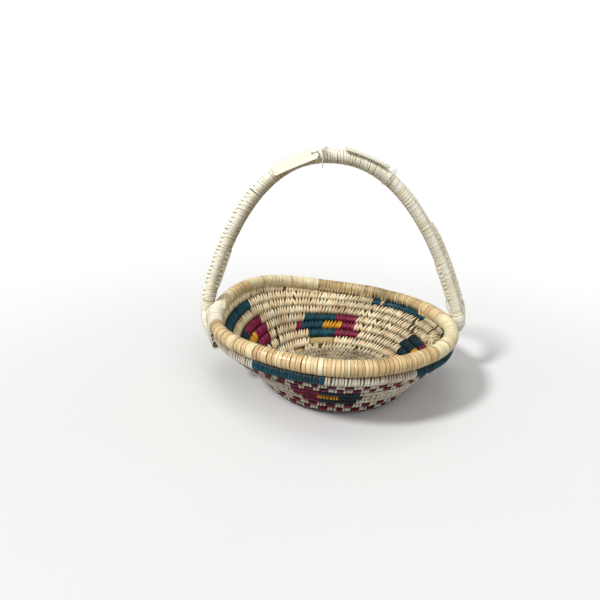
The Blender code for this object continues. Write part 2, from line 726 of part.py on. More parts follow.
def build_tag_string(group, name, t, lean, knot, tail_length):
    """A ring of string round the handle, its knot and one loose tail."""
    middle, tangent, outward = arch_frame(t)
    front = tangent.cross(outward)
    radius = HANDLE_RADIUS + SEAT_GAP + STRING_DIAMETER / 2
    points = [middle + (outward * math.cos(a) + front * math.sin(a)) * radius
              for a in (2.0 * math.pi * k / STRING_RING_STEPS for k in range(STRING_RING_STEPS))]
    ring = tube(name, group, points, [STRING_DIAMETER / 2] * STRING_RING_STEPS, 1, closed=True)
    bpy.ops.mesh.primitive_uv_sphere_add(segments=KNOT_SIDES, ring_count=KNOT_SIDES // 2 + 1,
                                         radius=KNOT_DIAMETER / 2, location=knot)
    bead = bpy.context.object
    join_into(ring, bead, "knot")
    steps = STRING_HANG_STEPS
    leans = [lean + (math.pi / 2 - lean) * k / steps for k in range(steps + 1)]
    hang = [place_on_handle(t, a, KNOT_DIAMETER / 2 + SEAT_GAP)[0] for a in leans]
    hang.append(hang[-1] + Vector((0.0, 0.0, -tail_length)))
    tail = tube(name + "_tail", group, hang, [STRING_DIAMETER / 2] * len(hang), 1)
    join_into(ring, tail, "tail")
    finish(ring, STRING, 0.8)


def join_into(target, tool, label):
    """Fuse a tool shape into a sub-part and remove the tool."""
    bpy.context.view_layer.update()
    union = target.modifiers.new(label, "BOOLEAN")
    union.operation = "UNION"
    union.solver = "EXACT"
    union.object = tool
    bpy.context.view_layer.update()
    graph = bpy.context.evaluated_depsgraph_get()
    mesh = bpy.data.meshes.new_from_object(target.evaluated_get(graph))
    target.modifiers.remove(union)
    target.data = mesh
    bpy.data.objects.remove(tool)


def main():
    basket, cutters = start_scene()
    build_coil(basket, cutters)
    build_rim(basket)
    build_handle(basket)
    for lacing in LACINGS:
        build_lacing(basket, *lacing)
    for number, tail in enumerate(LASHING_TAILS, 1):
        build_lashing(basket, f"lashing_left_{number}", -1, tail)
        build_lashing(basket, f"lashing_right_{number}", 1, tail)
    for tag in TAGS:
        build_tag(basket, *tag)


main()
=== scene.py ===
"""Dresses the coiled palm-leaf basket: bundle, stitches, rim, handle, ties and blank tags.

Metres, +Z up, the front is -Y. The bundle's spiral, the rim and the handle follow the same
sizes as the solids, so that every stitch and strip lies on what it wraps.
"""
import math

import bmesh
import bpy
import numpy as np
from mathutils import Matrix, Vector


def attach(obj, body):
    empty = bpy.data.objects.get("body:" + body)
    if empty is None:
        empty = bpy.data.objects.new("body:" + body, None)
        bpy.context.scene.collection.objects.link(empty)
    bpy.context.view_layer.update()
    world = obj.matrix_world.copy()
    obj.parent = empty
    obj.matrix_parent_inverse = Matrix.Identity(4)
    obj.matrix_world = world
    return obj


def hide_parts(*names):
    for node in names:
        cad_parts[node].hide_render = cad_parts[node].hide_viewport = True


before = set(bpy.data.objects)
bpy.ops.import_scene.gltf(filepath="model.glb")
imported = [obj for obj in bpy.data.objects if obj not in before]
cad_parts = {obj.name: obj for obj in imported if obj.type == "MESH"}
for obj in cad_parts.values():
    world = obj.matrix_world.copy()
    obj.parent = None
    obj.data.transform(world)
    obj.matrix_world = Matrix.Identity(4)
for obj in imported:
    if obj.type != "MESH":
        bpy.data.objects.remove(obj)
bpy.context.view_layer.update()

draw = np.random.default_rng(11)
MM = 0.001

# The coiled bowl's sizes
COIL_DIAMETER = 0.0104
TURN_GAP = 0.0008
BASE_RADIUS = 0.0730
BASE_FLAT_DEPTH = 0.0010
EDGE_BEND = 0.0140
WALL_TURNS = 8.75
WALL_SLOPES = tuple(math.radians(a) for a in (55.7, 45.8, 39.8))
END_DEGREES = 75.0
COIL_END_ANGLE = math.radians(END_DEGREES)
COIL_END_TAPER = 0.17
END_TIP = 0.22
START_TIP = 0.12
START_STEP = 0.20
END_EASE = math.radians(24.0)
END_EASE_DEPTH = 0.33
START_KNOT_RADIUS = 0.0062

# The mouth's shape
MOUTH_SHIFT_X = -0.0056
MOUTH_SHIFT_Y = 0.0084
MOUTH_OVAL = 0.997
MOUTH_WAVE = ((1, -0.0367, -0.0009), (2, 0.0070, -0.0352),
              (3, 0.0085, 0.0230), (4, -0.0172, -0.0129))
MOUTH_SHARE_POWER = 1.5

# Rim, handle and ties
RIM_RADIUS = 0.00775
BINDING_RADIUS = 0.00815
RIM_TILT = math.radians(40.4)
BINDING_HALF_ANGLE = math.radians(12.0)
HANDLE_RADIUS = 0.0076
HANDLE_END_RADIUS = 0.0050
HANDLE_RISE = 0.1828
ARCH_SWEEP = math.radians(65.1)
ARCH_SIDE_POWER = 0.906
ARCH_TOP_POWER = 1.475
ARCH_LEAN = -0.0084
FOOT_ANGLE = {-1: math.radians(180.0), 1: math.radians(9.0)}
FOOT_OUTSET = {-1: 0.0, 1: 0.0040}
TAIL_ANGLE = math.radians(21.0)
TAIL_DROP = 0.0090
SEAT_GAP = 0.0003
RIM_SEAT = 0.0005

COIL_RADIUS = COIL_DIAMETER / 2
COIL_PITCH = COIL_DIAMETER + TURN_GAP
COIL_BASE_HEIGHT = COIL_RADIUS - BASE_FLAT_DEPTH
EDGE_REACH = BASE_RADIUS - COIL_RADIUS
TOP_REACH = EDGE_REACH + WALL_TURNS * COIL_PITCH

# The steps that the lines are drawn and measured with
PROFILE_STEP = 0.5 * MM
PROFILE_SPARE = 31 * MM
PROBE = 1 * MM
TURN_PROBE = 0.001
ARCH_PROBE = 0.01
TURN_STEPS = 256
EASE_STEPS = 17
TAIL_STEPS = 33
ARCH_STEPS = 241


# Shapes of the bowl

def profile_table():
    """The bowl's section: radius, height and slope at each reach along it."""
    reach = np.arange(0.0, TOP_REACH + PROFILE_SPARE, PROFILE_STEP)
    past = np.clip((reach - EDGE_REACH) / EDGE_BEND, 0.0, 1.0)
    up = np.clip((reach - EDGE_REACH) / (TOP_REACH - EDGE_REACH), 0.0, 1.0)
    weights = ((1 - up) * (1 - 2 * up), 4 * up * (1 - up), up * (2 * up - 1))
    slope = past * sum(a * w for a, w in zip(WALL_SLOPES, weights))
    radius = np.concatenate(([0.0], np.cumsum(np.cos(slope[:-1]) * PROFILE_STEP)))
    height = np.concatenate(([0.0], np.cumsum(np.sin(slope[:-1]) * PROFILE_STEP)))
    return reach, radius, height + COIL_BASE_HEIGHT, slope


REACH, RADIUS, HEIGHT, SLOPE = profile_table()


def bowl(angle, reach, outward=0.0):
    """Points on the bowl at angles and reaches, moved square to the wall by outward."""
    angle, reach = np.broadcast_arrays(np.asarray(angle, float), np.asarray(reach, float))
    slope = np.interp(reach, REACH, SLOPE)
    radius = np.interp(reach, REACH, RADIUS) + outward * np.sin(slope)
    height = np.interp(reach, REACH, HEIGHT) - outward * np.cos(slope)
    share = np.maximum((reach - EDGE_REACH) / (TOP_REACH - EDGE_REACH), 0.0) ** MOUTH_SHARE_POWER
    wave = BASE_RADIUS * sum(c * np.cos(k * angle) + s * np.sin(k * angle)
                             for k, c, s in MOUTH_WAVE)
    oval = 1.0 + (MOUTH_OVAL - 1.0) * share
    return np.stack((radius * np.cos(angle) + MOUTH_SHIFT_X * share,
                     radius * oval * np.sin(angle) + MOUTH_SHIFT_Y * share,
                     height + wave * share), -1)


def start_radius(turn):
    """The bundle's radius, which grows over its first turn."""
    return COIL_RADIUS * np.minimum(START_TIP + (1.0 - START_TIP) * turn, 1.0)


def inner_edge(turn):
    """The bundle's edge towards the middle, for an array of turns."""
    turn = np.asarray(turn, float)
    whole = np.floor(np.maximum(turn, 0.0)).astype(int)
    part = turn - whole
    step_out = np.clip((part - 1.0 + START_STEP) / START_STEP, 0.0, 1.0)
    edge = START_KNOT_RADIUS + SEAT_GAP + (2.0 * start_radius(0.0) + TURN_GAP) * step_out
    for k in range(int(whole.max()) if whole.size else 0):
        edge = np.where(whole > k, edge + 2.0 * start_radius(part + k) + TURN_GAP, edge)
    return edge


def count_turns():
    """How many turns reach the top of the wall."""
    counts = np.arange(0.0, TOP_REACH / COIL_PITCH + 1.0, TURN_PROBE)
    return float(np.interp(TOP_REACH, inner_edge(counts) + start_radius(counts), counts))


COIL_TURNS = count_turns()
SPLICE_TURN = COIL_TURNS - WALL_TURNS


def coil_radius(turn):
    """The bundle's radius with its tapered start and end."""
    ending = np.minimum((COIL_TURNS - turn) / COIL_END_TAPER * (1.0 - END_TIP) + END_TIP, 1.0)
    return start_radius(turn) * ending


def turn_angle(turn):
    return COIL_END_ANGLE + 2.0 * math.pi * (COIL_TURNS - turn)


def wall_stretch(angle, reach):
    """How much further apart than COIL_PITCH two turns lie on the real mouth's wall."""
    chord = bowl(angle, reach + COIL_PITCH / 2) - bowl(angle, reach - COIL_PITCH / 2)
    return np.linalg.norm(chord, axis=-1) / COIL_PITCH


def unit(v):
    """Vectors at a length of 1."""
    return v / np.linalg.norm(v, axis=-1, keepdims=True)


class Line:
    """A wrapped thing's middle line: places, two cross directions and a radius at each length."""

    def __init__(self, places, first, radius, closed=False):
        self.closed = closed
        if closed:
            places, first, radius = (np.concatenate((v, v[:1])) for v in (places, first, radius))
        self.places = places
        steps = np.linalg.norm(np.diff(places, axis=0), axis=1)
        self.run = np.concatenate(([0.0], np.cumsum(steps)))
        self.length = float(self.run[-1])
        way = np.gradient(places, self.run, axis=0)
        if closed:
            way[0] = way[-1] = places[1] - places[-2]
        self.way = unit(way)
        self.first = unit(first - self.way * np.sum(first * self.way, -1, keepdims=True))
        self.second = np.cross(self.way, self.first)
        self.radius = radius

    def look(self, along):
        """Place, both cross directions and radius at lengths along the line."""
        along = np.mod(along, self.length) if self.closed else along
        clipped = np.clip(along, 0.0, self.length)
        place, first, second, way = (
            np.stack([np.interp(clipped, self.run, v[:, k]) for k in range(3)], -1)
            for v in (self.places, self.first, self.second, self.way))
        past = (along - clipped)[..., None] * way
        return place + past, first, second, np.interp(clipped, self.run, self.radius)


def around(place, first, second, turn, reach):
    """Places at an angle and a distance round a line."""
    return (place + first * (np.cos(turn) * reach)[..., None]
            + second * (np.sin(turn) * reach)[..., None])


def coil_line():
    """The bundle from its start to its end: first points out of the wall, second up it."""
    turns = np.arange(0.0, COIL_TURNS, 1.0 / TURN_STEPS)
    turns = np.append(turns, COIL_TURNS)
    angle = turn_angle(turns)
    reach = inner_edge(turns) + coil_radius(turns)
    places = bowl(angle, reach)
    flat = turns < SPLICE_TURN
    places[flat, 2] = COIL_BASE_HEIGHT * coil_radius(turns[flat]) / COIL_RADIUS
    outward = bowl(angle, reach, PROBE) - bowl(angle, reach)
    line = Line(places, outward, coil_radius(turns) * wall_stretch(angle, reach))
    line.turns = turns
    upward = bowl(angle, reach + PROBE) - bowl(angle, reach)
    line.second *= np.sign(np.sum(line.second * upward, -1, keepdims=True))
    return line


def top_edge_reach(angle):
    """How far up the wall the top turn's edge lies, eased over the coil's tapered end."""
    aside = np.linspace(-END_EASE, END_EASE, EASE_STEPS)
    near = np.asarray(angle, float)[..., None] + aside
    back = (near - COIL_END_ANGLE) / (2.0 * math.pi)
    turn = COIL_TURNS - (back - np.floor(back))
    edge = inner_edge(turn) + 2.0 * coil_radius(turn)
    return (edge - COIL_PITCH * END_EASE_DEPTH * (aside / END_EASE) ** 2).max(-1)


def turned(v, axis, angle):
    """Vectors turned about unit axes by an angle."""
    dot = np.sum(v * axis, -1, keepdims=True)
    across = np.cross(axis, v) * math.sin(angle)
    return v * math.cos(angle) + across + axis * dot * (1 - math.cos(angle))


def rim_places(angle):
    """The rim's middle at angles: over the top turn's edge and tilted in."""
    angle = np.asarray(angle, float)
    reach = top_edge_reach(angle) - COIL_RADIUS
    middle = bowl(angle, reach)
    up_wall = unit(bowl(angle, reach + COIL_RADIUS) - middle)
    inward = np.stack((-np.cos(angle), -np.sin(angle), 0 * angle), -1)
    tilted = turned(up_wall, unit(np.cross(inward, up_wall)), -RIM_TILT)
    apart = COIL_RADIUS * wall_stretch(angle, reach) + RIM_SEAT + BINDING_RADIUS
    return middle + tilted * apart[..., None]


def rim_line():
    """The rim as a closed line, a place for each degree: first points outward."""
    angle = np.radians(np.arange(0.0, 360.0, 1.0))
    outward = np.stack((np.cos(angle), np.sin(angle), 0 * angle), -1)
    line = Line(rim_places(angle), outward, np.full(len(angle), RIM_RADIUS), closed=True)
    line.angle = np.append(angle, 2 * math.pi)
    return line


# Shapes of the handle

def foot_place(side):
    """Where an arm of the handle (-1 left, 1 right) stands beside the rim."""
    angle = FOOT_ANGLE[side]
    outward = np.array((math.cos(angle), math.sin(angle), 0.0))
    apart = BINDING_RADIUS + SEAT_GAP + HANDLE_RADIUS + FOOT_OUTSET[side]
    return rim_places(angle) + outward * apart


LEFT_FOOT = foot_place(-1)
RIGHT_FOOT = foot_place(1)


def arch_places(t):
    """The arch's middle: t is -1 at the left foot, 0 at the top and 1 at the right foot."""
    t = np.asarray(t, float)[..., None]
    sweep = ARCH_SWEEP * np.abs(t)
    side = (np.sin(sweep) / math.sin(ARCH_SWEEP)) ** ARCH_SIDE_POWER
    foot = math.cos(ARCH_SWEEP) ** ARCH_TOP_POWER
    rise = (np.cos(sweep) ** ARCH_TOP_POWER - foot) / (1.0 - foot)
    point = LEFT_FOOT + (RIGHT_FOOT - LEFT_FOOT) * (0.5 + 0.5 * np.sign(t) * side)
    lean = rise * unit(RIGHT_FOOT - LEFT_FOOT) * ARCH_LEAN
    return point + rise * np.array((0.0, 0.0, HANDLE_RISE)) + lean


def arch_frame(t):
    """Place, way towards the right foot and outward direction of the arch at t."""
    way = unit(arch_places(min(t + ARCH_PROBE, 1.0)) - arch_places(max(t - ARCH_PROBE, -1.0)))
    plane = np.cross(RIGHT_FOOT - LEFT_FOOT, (0.0, 0.0, 1.0))
    return arch_places(t), way, unit(np.cross(plane, way))


def tail_places(side, t):
    """The handle's end, turned along the wall under the rim: t = 0 at the foot, 1 at the tip."""
    t = np.asarray(t, float)[..., None]
    start, way, _ = arch_frame(float(side))
    down = way * side
    angle = FOOT_ANGLE[side] + TAIL_ANGLE
    reach = top_edge_reach(angle) - TAIL_DROP
    off_wall = COIL_RADIUS + SEAT_GAP + HANDLE_END_RADIUS
    end = bowl(angle, reach, off_wall)
    along = unit(end - bowl(angle - TAIL_ANGLE / 4, reach, off_wall))
    pull = np.linalg.norm(end - start)
    bend = (2 * t ** 3 - 3 * t ** 2 + 1) * start + (t ** 3 - 2 * t ** 2 + t) * pull * down
    return bend + (3 * t ** 2 - 2 * t ** 3) * end + (t ** 3 - t ** 2) * pull * along


def handle_line():
    """The whole handle from the left tail's tip to the right one's: first points outward."""
    tail = np.linspace(0.0, 1.0, TAIL_STEPS)[1:]
    arch = arch_places(np.linspace(-1.0, 1.0, ARCH_STEPS))
    places = np.concatenate((tail_places(-1, tail)[::-1], arch, tail_places(1, tail)))
    thin = HANDLE_RADIUS + (HANDLE_END_RADIUS - HANDLE_RADIUS) * tail
    radius = np.concatenate((thin[::-1], np.full(len(arch), HANDLE_RADIUS), thin))
    way = unit(np.gradient(places, axis=0))
    first = np.zeros_like(places)
    top = len(tail) + len(arch) // 2
    first[top] = arch_frame(0.0)[2]
    for order in (range(top + 1, len(places)), range(top - 1, -1, -1)):
        last = first[top]
        for k in order:
            last = last - way[k] * np.dot(last, way[k])
            last = last / np.linalg.norm(last)
            first[k] = last
    line = Line(places, first, radius)
    line.arch_run = line.run[len(tail):len(tail) + len(arch)]
    return line


def arch_run(t):
    """Arc length on the handle's line of an arch place t."""
    return float(np.interp(t, np.linspace(-1.0, 1.0, ARCH_STEPS), HANDLE.arch_run))


COIL = coil_line()
RIM = rim_line()
HANDLE = handle_line()


# Blanks: a strip, a ring and a sheet, each modelled once and stamped along what it wraps

# The ring's middle radius and sides, its texture's length, and how sharp an edge stays an edge
RING_MAJOR = 2.0
RING_SIDES = 5
ROUND_TEXTURE = 6.0
SHARP_ANGLE = math.radians(65.0)


def clear_selection():
    bpy.ops.object.select_all(action="DESELECT")


def edit_mode(item, action):
    """Do an action on one piece in edit mode, with all of it selected."""
    clear_selection()
    item.select_set(True)
    bpy.context.view_layer.objects.active = item
    bpy.ops.object.mode_set(mode="EDIT")
    bpy.ops.mesh.select_all(action="SELECT")
    action()
    bpy.ops.object.mode_set(mode="OBJECT")


class Blank:
    """A template's vertices and faces, with a texture place at every face corner."""

    def __init__(self, item, texture_place):
        self.places = np.array([v.co for v in item.data.vertices])
        self.faces = [tuple(face.vertices) for face in item.data.polygons]
        self.texture = [texture_place(self.places[list(face)]) for face in self.faces]
        bpy.data.objects.remove(item)


def flat_texture(places):
    """Across and along from 0 to 1."""
    return np.stack((places[:, 0] * 0.5 + 0.5, places[:, 1] * 0.5 + 0.5), -1)


def strip_blank(sides, stations):
    """A round strip, cut at stations: X across and Y along from -1 to 1, Z its crown."""
    bpy.ops.mesh.primitive_cylinder_add(vertices=sides, radius=1.0, depth=2.0,
                                        rotation=(math.pi / 2, 0.0, 0.0))
    item = bpy.context.object
    bpy.ops.object.transform_apply(location=False, rotation=True, scale=True)

    def cut_stations():
        for y in stations:
            bpy.ops.mesh.select_all(action="SELECT")
            bpy.ops.mesh.bisect(plane_co=(0.0, y, 0.0), plane_no=(0.0, 1.0, 0.0))

    edit_mode(item, cut_stations)
    return Blank(item, flat_texture)


def ring_blank(segments, sides):
    """A strip bent into a ring, to go round what it wraps."""
    bpy.ops.mesh.primitive_torus_add(major_segments=segments, minor_segments=sides,
                                     major_radius=RING_MAJOR, minor_radius=1.0)
    item = bpy.context.object

    def ring_texture(places):
        turn = np.arctan2(places[:, 1], places[:, 0]) / (2 * math.pi) + 0.5
        turn = np.where((turn < 0.3) & (turn.max() > 0.8), turn + 1.0, turn)
        return np.stack((places[:, 2] * 0.5 + 0.5, turn), -1)

    return Blank(item, ring_texture)


def sheet_blank(columns, rows, thickness):
    """A thin sheet with both faces: X and Y from -1 to 1."""
    bpy.ops.mesh.primitive_grid_add(x_subdivisions=columns, y_subdivisions=rows, size=2.0)
    item = bpy.context.object
    shell = item.modifiers.new("shell", "SOLIDIFY")
    shell.thickness = thickness
    shell.offset = 0.0
    bpy.ops.object.modifier_apply(modifier=shell.name)
    return Blank(item, flat_texture)


def point_values(mesh, name, values):
    """A number at each vertex, which the finishes read."""
    layer = mesh.attributes.new(name, "FLOAT", "POINT")
    layer.data.foreach_set("value", np.asarray(values, np.float32))


def stamp(name, blank, places, tones, slots, materials, texture_length=1.0, weather=None):
    """One mesh of many copies of a blank: places is copies x vertices x 3."""
    count, size = places.shape[:2]
    faces = [tuple(v + size * k for v in face) for k in range(count) for face in blank.faces]
    mesh = bpy.data.meshes.new(name)
    mesh.from_pydata(places.reshape(-1, 3).tolist(), [], faces)
    layer = mesh.uv_layers.new(name="wrap")
    one = np.concatenate(blank.texture) * np.array((1.0, texture_length))
    layer.data.foreach_set("uv", np.tile(one, (count, 1)).ravel().astype(np.float32))
    point_values(mesh, "tone", np.repeat(np.asarray(tones, np.float32), size))
    # each vertex's share of painted shade, when given
    if weather is not None:
        point_values(mesh, "weather", np.broadcast_to(weather, (count, size)).ravel())
    for made in materials:
        mesh.materials.append(made)
    numbers = np.repeat(np.asarray(slots, np.int32), len(blank.faces))
    mesh.polygons.foreach_set("material_index", numbers)
    return mesh_piece(name, mesh)


def mesh_piece(name, mesh):
    """Link a mesh as a piece, with its faces outward and its round sides smooth."""
    shape = bmesh.new()
    shape.from_mesh(mesh)
    bmesh.ops.recalc_face_normals(shape, faces=shape.faces)
    shape.to_mesh(mesh)
    shape.free()
    mesh.shade_smooth()
    mesh.set_sharp_from_angle(angle=SHARP_ANGLE)
    item = bpy.data.objects.new(name, mesh)
    bpy.context.scene.collection.objects.link(item)
    return item


def place_piece(item, slot, *nodes, body="basket"):
    """Ride a piece on its body, in place of the nodes that it stands for."""
    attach(item, body)
    if nodes:
        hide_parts(*nodes)
    return item


def random_tones(n, middle, spread):
    """The tones of n strips about a middle tone, from 0 to 1."""
    return np.clip(draw.normal(middle, spread, n), 0.0, 1.0)


# Finishes

class Value:
    """A number that varies over a surface: sums on it add Math nodes."""

    def __init__(self, finish, socket):
        self.finish = finish
        self.socket = socket

    def sum(self, operation, *values):
        """What one Math node makes of values."""
        node = self.finish.node("ShaderNodeMath", {"operation": operation}, dict(enumerate(values)))
        return Value(self.finish, node.outputs[0])

    def __add__(self, other):
        return self.sum("ADD", self, other)

    def __mul__(self, other):
        return self.sum("MULTIPLY", self, other)

    def __sub__(self, other):
        return self.sum("SUBTRACT", self, other)

    def __rsub__(self, other):
        return self.sum("SUBTRACT", other, self)

    __radd__ = __add__
    __rmul__ = __mul__

    def size(self):
        return self.sum("ABSOLUTE", self)

    def over(self, low, high):
        """0 below low, 1 above high and smooth between."""
        node = self.finish.node("ShaderNodeMapRange", {"interpolation_type": "SMOOTHSTEP"},
                                {"Value": self, "From Min": low, "From Max": high})
        return Value(self.finish, node.outputs["Result"])


def add_node(tree, kind, settings, values):
    """A node with its settings first, then the values or links of its sockets."""
    made = tree.nodes.new(kind)
    for key, value in settings.items():
        setattr(made, key, value)
    for key, value in values.items():
        socket = value.socket if isinstance(value, Value) else value
        if isinstance(socket, bpy.types.NodeSocket):
            tree.links.new(socket, made.inputs[key])
        else:
            made.inputs[key].default_value = socket
    return made


class Finish:
    """A material in the making."""

    def __init__(self, name, roughness, gloss=0.5):
        self.made = bpy.data.materials.new(name)
        self.made.use_nodes = True
        self.tree = self.made.node_tree
        self.shader = self.tree.nodes["Principled BSDF"]
        self.shader.inputs["Roughness"].default_value = roughness
        self.shader.inputs["Specular IOR Level"].default_value = gloss

    def node(self, kind, settings, values):
        return add_node(self.tree, kind, settings, values)

    def attribute(self, name):
        node = self.node("ShaderNodeAttribute", {"attribute_name": name}, {})
        return Value(self, node.outputs["Fac"])

    def wrap_place(self):
        """Across and along the strip, each a Value."""
        place = self.node("ShaderNodeUVMap", {"uv_map": "wrap"}, {})
        parts = self.node("ShaderNodeSeparateXYZ", {}, {0: place.outputs[0]})
        return Value(self, parts.outputs[0]), Value(self, parts.outputs[1])

    def object_place(self):
        return self.node("ShaderNodeTexCoord", {}, {}).outputs["Object"]

    def vector(self, x, y, z):
        return self.node("ShaderNodeCombineXYZ", {}, {0: x, 1: y, 2: z}).outputs[0]

    def noise(self, place, scale, detail=2.0, rough=0.5):
        node = self.node("ShaderNodeTexNoise", {},
                         {"Vector": place, "Scale": scale, "Detail": detail, "Roughness": rough})
        return Value(self, node.outputs["Fac"])

    def mix(self, share, low, high):
        """A colour between two colours."""
        node = self.node("ShaderNodeMix", {"data_type": "RGBA"}, {0: share, 6: low, 7: high})
        return node.outputs[2]

    def colour(self, socket):
        self.tree.links.new(socket, self.shader.inputs["Base Color"])

    def roughness(self, value):
        self.tree.links.new(value.socket, self.shader.inputs["Roughness"])

    def bump(self, height, strength, distance):
        node = self.node("ShaderNodeBump", {},
                         {"Height": height, "Strength": strength, "Distance": distance})
        self.tree.links.new(node.outputs[0], self.shader.inputs["Normal"])


def shade(red, green, blue):
    """A colour given in display values from 0 to 255."""
    linear = [c / 255 / 12.92 if c <= 10 else ((c / 255 + 0.055) / 1.055) ** 2.4
              for c in (red, green, blue)]
    return (*linear, 1.0)


def palm_finish(name, colours, roughness, streaks=9.0, edge_share=0.75, stain=0.3,
                relief=0.0003, painted_shade=None, gloss=0.5):
    """A split palm leaf: its tone differs from strip to strip, with fibres along it.

    Colours are the light, middle and dark leaf and the painted shade in the gaps at its sides. A
    further colour, when given, is painted shade, at full where the mesh's share of painted shade is
    1. The sides start at edge_share of the half width."""
    light, middle, dark, edge = (shade(*c) for c in colours)
    finish = Finish(name, roughness, gloss)
    across, along = finish.wrap_place()
    tone = finish.attribute("tone")
    fibre = finish.noise(finish.vector(across * streaks, along * 0.7, tone * 57.0), 1.0, 4.0, 0.65)
    fine = finish.noise(finish.vector(across * streaks * 3.1, along * 2.2, tone * 91.0), 1.0, 2.0)
    cloudy = finish.noise(finish.object_place(), 55.0, 3.0)
    blend = (tone * 0.72 + fibre * 0.62 - 0.17).over(0.05, 0.95)
    colour = finish.mix(blend, middle, light)
    stained = cloudy.over(0.45, 0.75) * stain + (1.0 - fibre).over(0.55, 0.8) * 0.25
    colour = finish.mix(stained, colour, dark)
    # painted shade: the mesh's per-vertex share of it darkens the leaf towards the shade colour
    if painted_shade:
        weather = finish.attribute("weather") * (cloudy * 0.5 + 0.5)
        colour = finish.mix(weather, colour, shade(*painted_shade))
    # painted shade: each strip's sides darken towards the shade of the gap beside it
    side = (across * 2.0 - 1.0).size()
    strip = finish.noise(finish.vector(tone * 37.0, 0.0, 0.0), 1.0, 0.0)
    strength = strip.over(0.3, 0.7) * 0.5 + 0.5
    colour = finish.mix(side.over(edge_share, 0.97) * strength, colour, edge)
    finish.colour(colour)
    finish.roughness(fine * 0.25 + roughness - 0.12)
    finish.bump(fibre * 0.6 + fine * 0.4, 0.55, relief)
    return finish.made


# Palm leaf: light, middle, dark and side colours, the sides being painted shade in the gaps between
# strips, then roughness and what else is its own, such as the colour of its painted shade

PALM_NATURAL = palm_finish(
    "palm_natural", ((255, 243, 207), (237, 208, 157), (158, 120, 74), (44, 32, 17)), 0.45,
    edge_share=0.60, stain=0.4, relief=0.0004, painted_shade=(34, 25, 13))
PALM_OUTER = palm_finish(
    "palm_bleached", ((255, 250, 232), (236, 220, 190), (172, 144, 106), (44, 35, 24)), 0.45,
    edge_share=0.64, painted_shade=(28, 23, 16))
PALM_TEAL = palm_finish(
    "palm_dyed_teal", ((8, 92, 112), (2, 58, 74), (1, 30, 42), (1, 12, 18)), 0.36,
    edge_share=0.62, painted_shade=(1, 11, 15), gloss=0.3)
PALM_TEAL_DARK = palm_finish(
    "palm_dyed_dark_teal", ((4, 54, 66), (1, 34, 44), (1, 18, 24), (1, 9, 12)), 0.36,
    edge_share=0.62, painted_shade=(1, 8, 10), gloss=0.3)
PALM_MAGENTA = palm_finish(
    "palm_dyed_magenta", ((158, 14, 76), (114, 3, 50), (62, 1, 28), (26, 1, 12)), 0.38,
    edge_share=0.62, painted_shade=(24, 1, 11), gloss=0.3)
PALM_YELLOW = palm_finish(
    "palm_dyed_yellow", ((250, 186, 36), (224, 150, 16), (150, 92, 10), (66, 38, 6)), 0.45,
    edge_share=0.62, painted_shade=(54, 30, 5), gloss=0.35)
PALM_GREEN = palm_finish(
    "palm_dyed_green", ((8, 56, 46), (3, 34, 30), (2, 20, 18), (2, 12, 12)), 0.5)
RIM_GOLD = palm_finish(
    "rim_golden_palm", ((247, 221, 171), (212, 176, 116), (150, 107, 58), (46, 27, 12)), 0.27,
    streaks=8.0, edge_share=0.70, stain=0.5, relief=0.00025, gloss=0.65)
RIM_DULL = palm_finish(
    "rim_dull_palm", ((240, 216, 166), (198, 167, 112), (126, 94, 52), (26, 17, 8)), 0.33,
    streaks=8.0, edge_share=0.54, stain=0.62, relief=0.0003)
RIM_PALE = palm_finish(
    "rim_pale_palm", ((254, 243, 206), (238, 220, 172), (194, 168, 112), (84, 62, 32)), 0.33,
    streaks=8.0, edge_share=0.82, stain=0.35, relief=0.0002)
# the handle's painted shade is olive, for its shaded side and groove
HANDLE_PALM = palm_finish(
    "handle_palm", ((255, 254, 240), (254, 243, 210), (214, 190, 138), (84, 63, 34)), 0.34,
    streaks=6.0, edge_share=0.80, stain=0.25, relief=0.00015, painted_shade=(146, 124, 80))


def bundle_finish():
    """Dry grass fibres running along the bundle, painted dark as the shade in the gaps between
    stitches, and straw coloured where it lies bare.
    """
    finish = Finish("bundle_grass", 0.75)
    across, along = finish.wrap_place()
    fibre = finish.noise(finish.vector(across * 42.0, along * 70.0, 0.0), 1.0, 4.0, 0.7)
    patch = finish.noise(finish.object_place(), 40.0, 2.0)
    # painted shade: the bundle shows only in the gaps between stitches, so it is coloured as dark
    # as their shade
    colour = finish.mix(fibre.over(0.3, 0.7), shade(44, 35, 20), shade(112, 94, 58))
    colour = finish.mix(patch.over(0.4, 0.7) * 0.5, colour, shade(66, 58, 38))
    straw = finish.mix(fibre.over(0.3, 0.7), shade(150, 122, 74), shade(214, 190, 136))
    finish.colour(finish.mix(finish.attribute("bare"), colour, straw))
    finish.bump(fibre, 0.8, 0.5 * MM)
    return finish.made


def card_finish():
    """Matt paper card with faint clouds."""
    finish = Finish("paper_card", 0.7)
    cloudy = finish.noise(finish.object_place(), 60.0, 3.0)
    fibre = finish.noise(finish.object_place(), 420.0, 2.0)
    share = cloudy.over(0.3, 0.75) * 0.7 + fibre * 0.2
    finish.colour(finish.mix(share, shade(246, 241, 226), shade(238, 230, 208)))
    finish.roughness(fibre * 0.15 + 0.6)
    finish.bump(cloudy, 0.05, 0.1 * MM)
    return finish.made


def fibre_finish(name, roughness, dark, pale, scale, detail, strength, relief):
    """Fine fibres between two colours, for what is small or hardly shows."""
    finish = Finish(name, roughness)
    fibre = finish.noise(finish.object_place(), scale, detail)
    finish.colour(finish.mix(fibre.over(0.3, 0.7), shade(*dark), shade(*pale)))
    finish.bump(fibre, strength, relief)
    return finish.made


BUNDLE = bundle_finish()
CARD = card_finish()
STRING = fibre_finish("cotton_string", 0.85, (216, 213, 204), (250, 249, 244), 900.0, 2.0, 0.25,
                      0.1 * MM)
CORE = fibre_finish("bundle_core", 0.75, (98, 80, 46), (160, 138, 90), 900.0, 3.0, 0.6, 0.3 * MM)
STRAP = fibre_finish("palm_strap", 0.5, (198, 174, 118), (232, 216, 168), 700.0, 3.0, 0.4,
                     0.2 * MM)


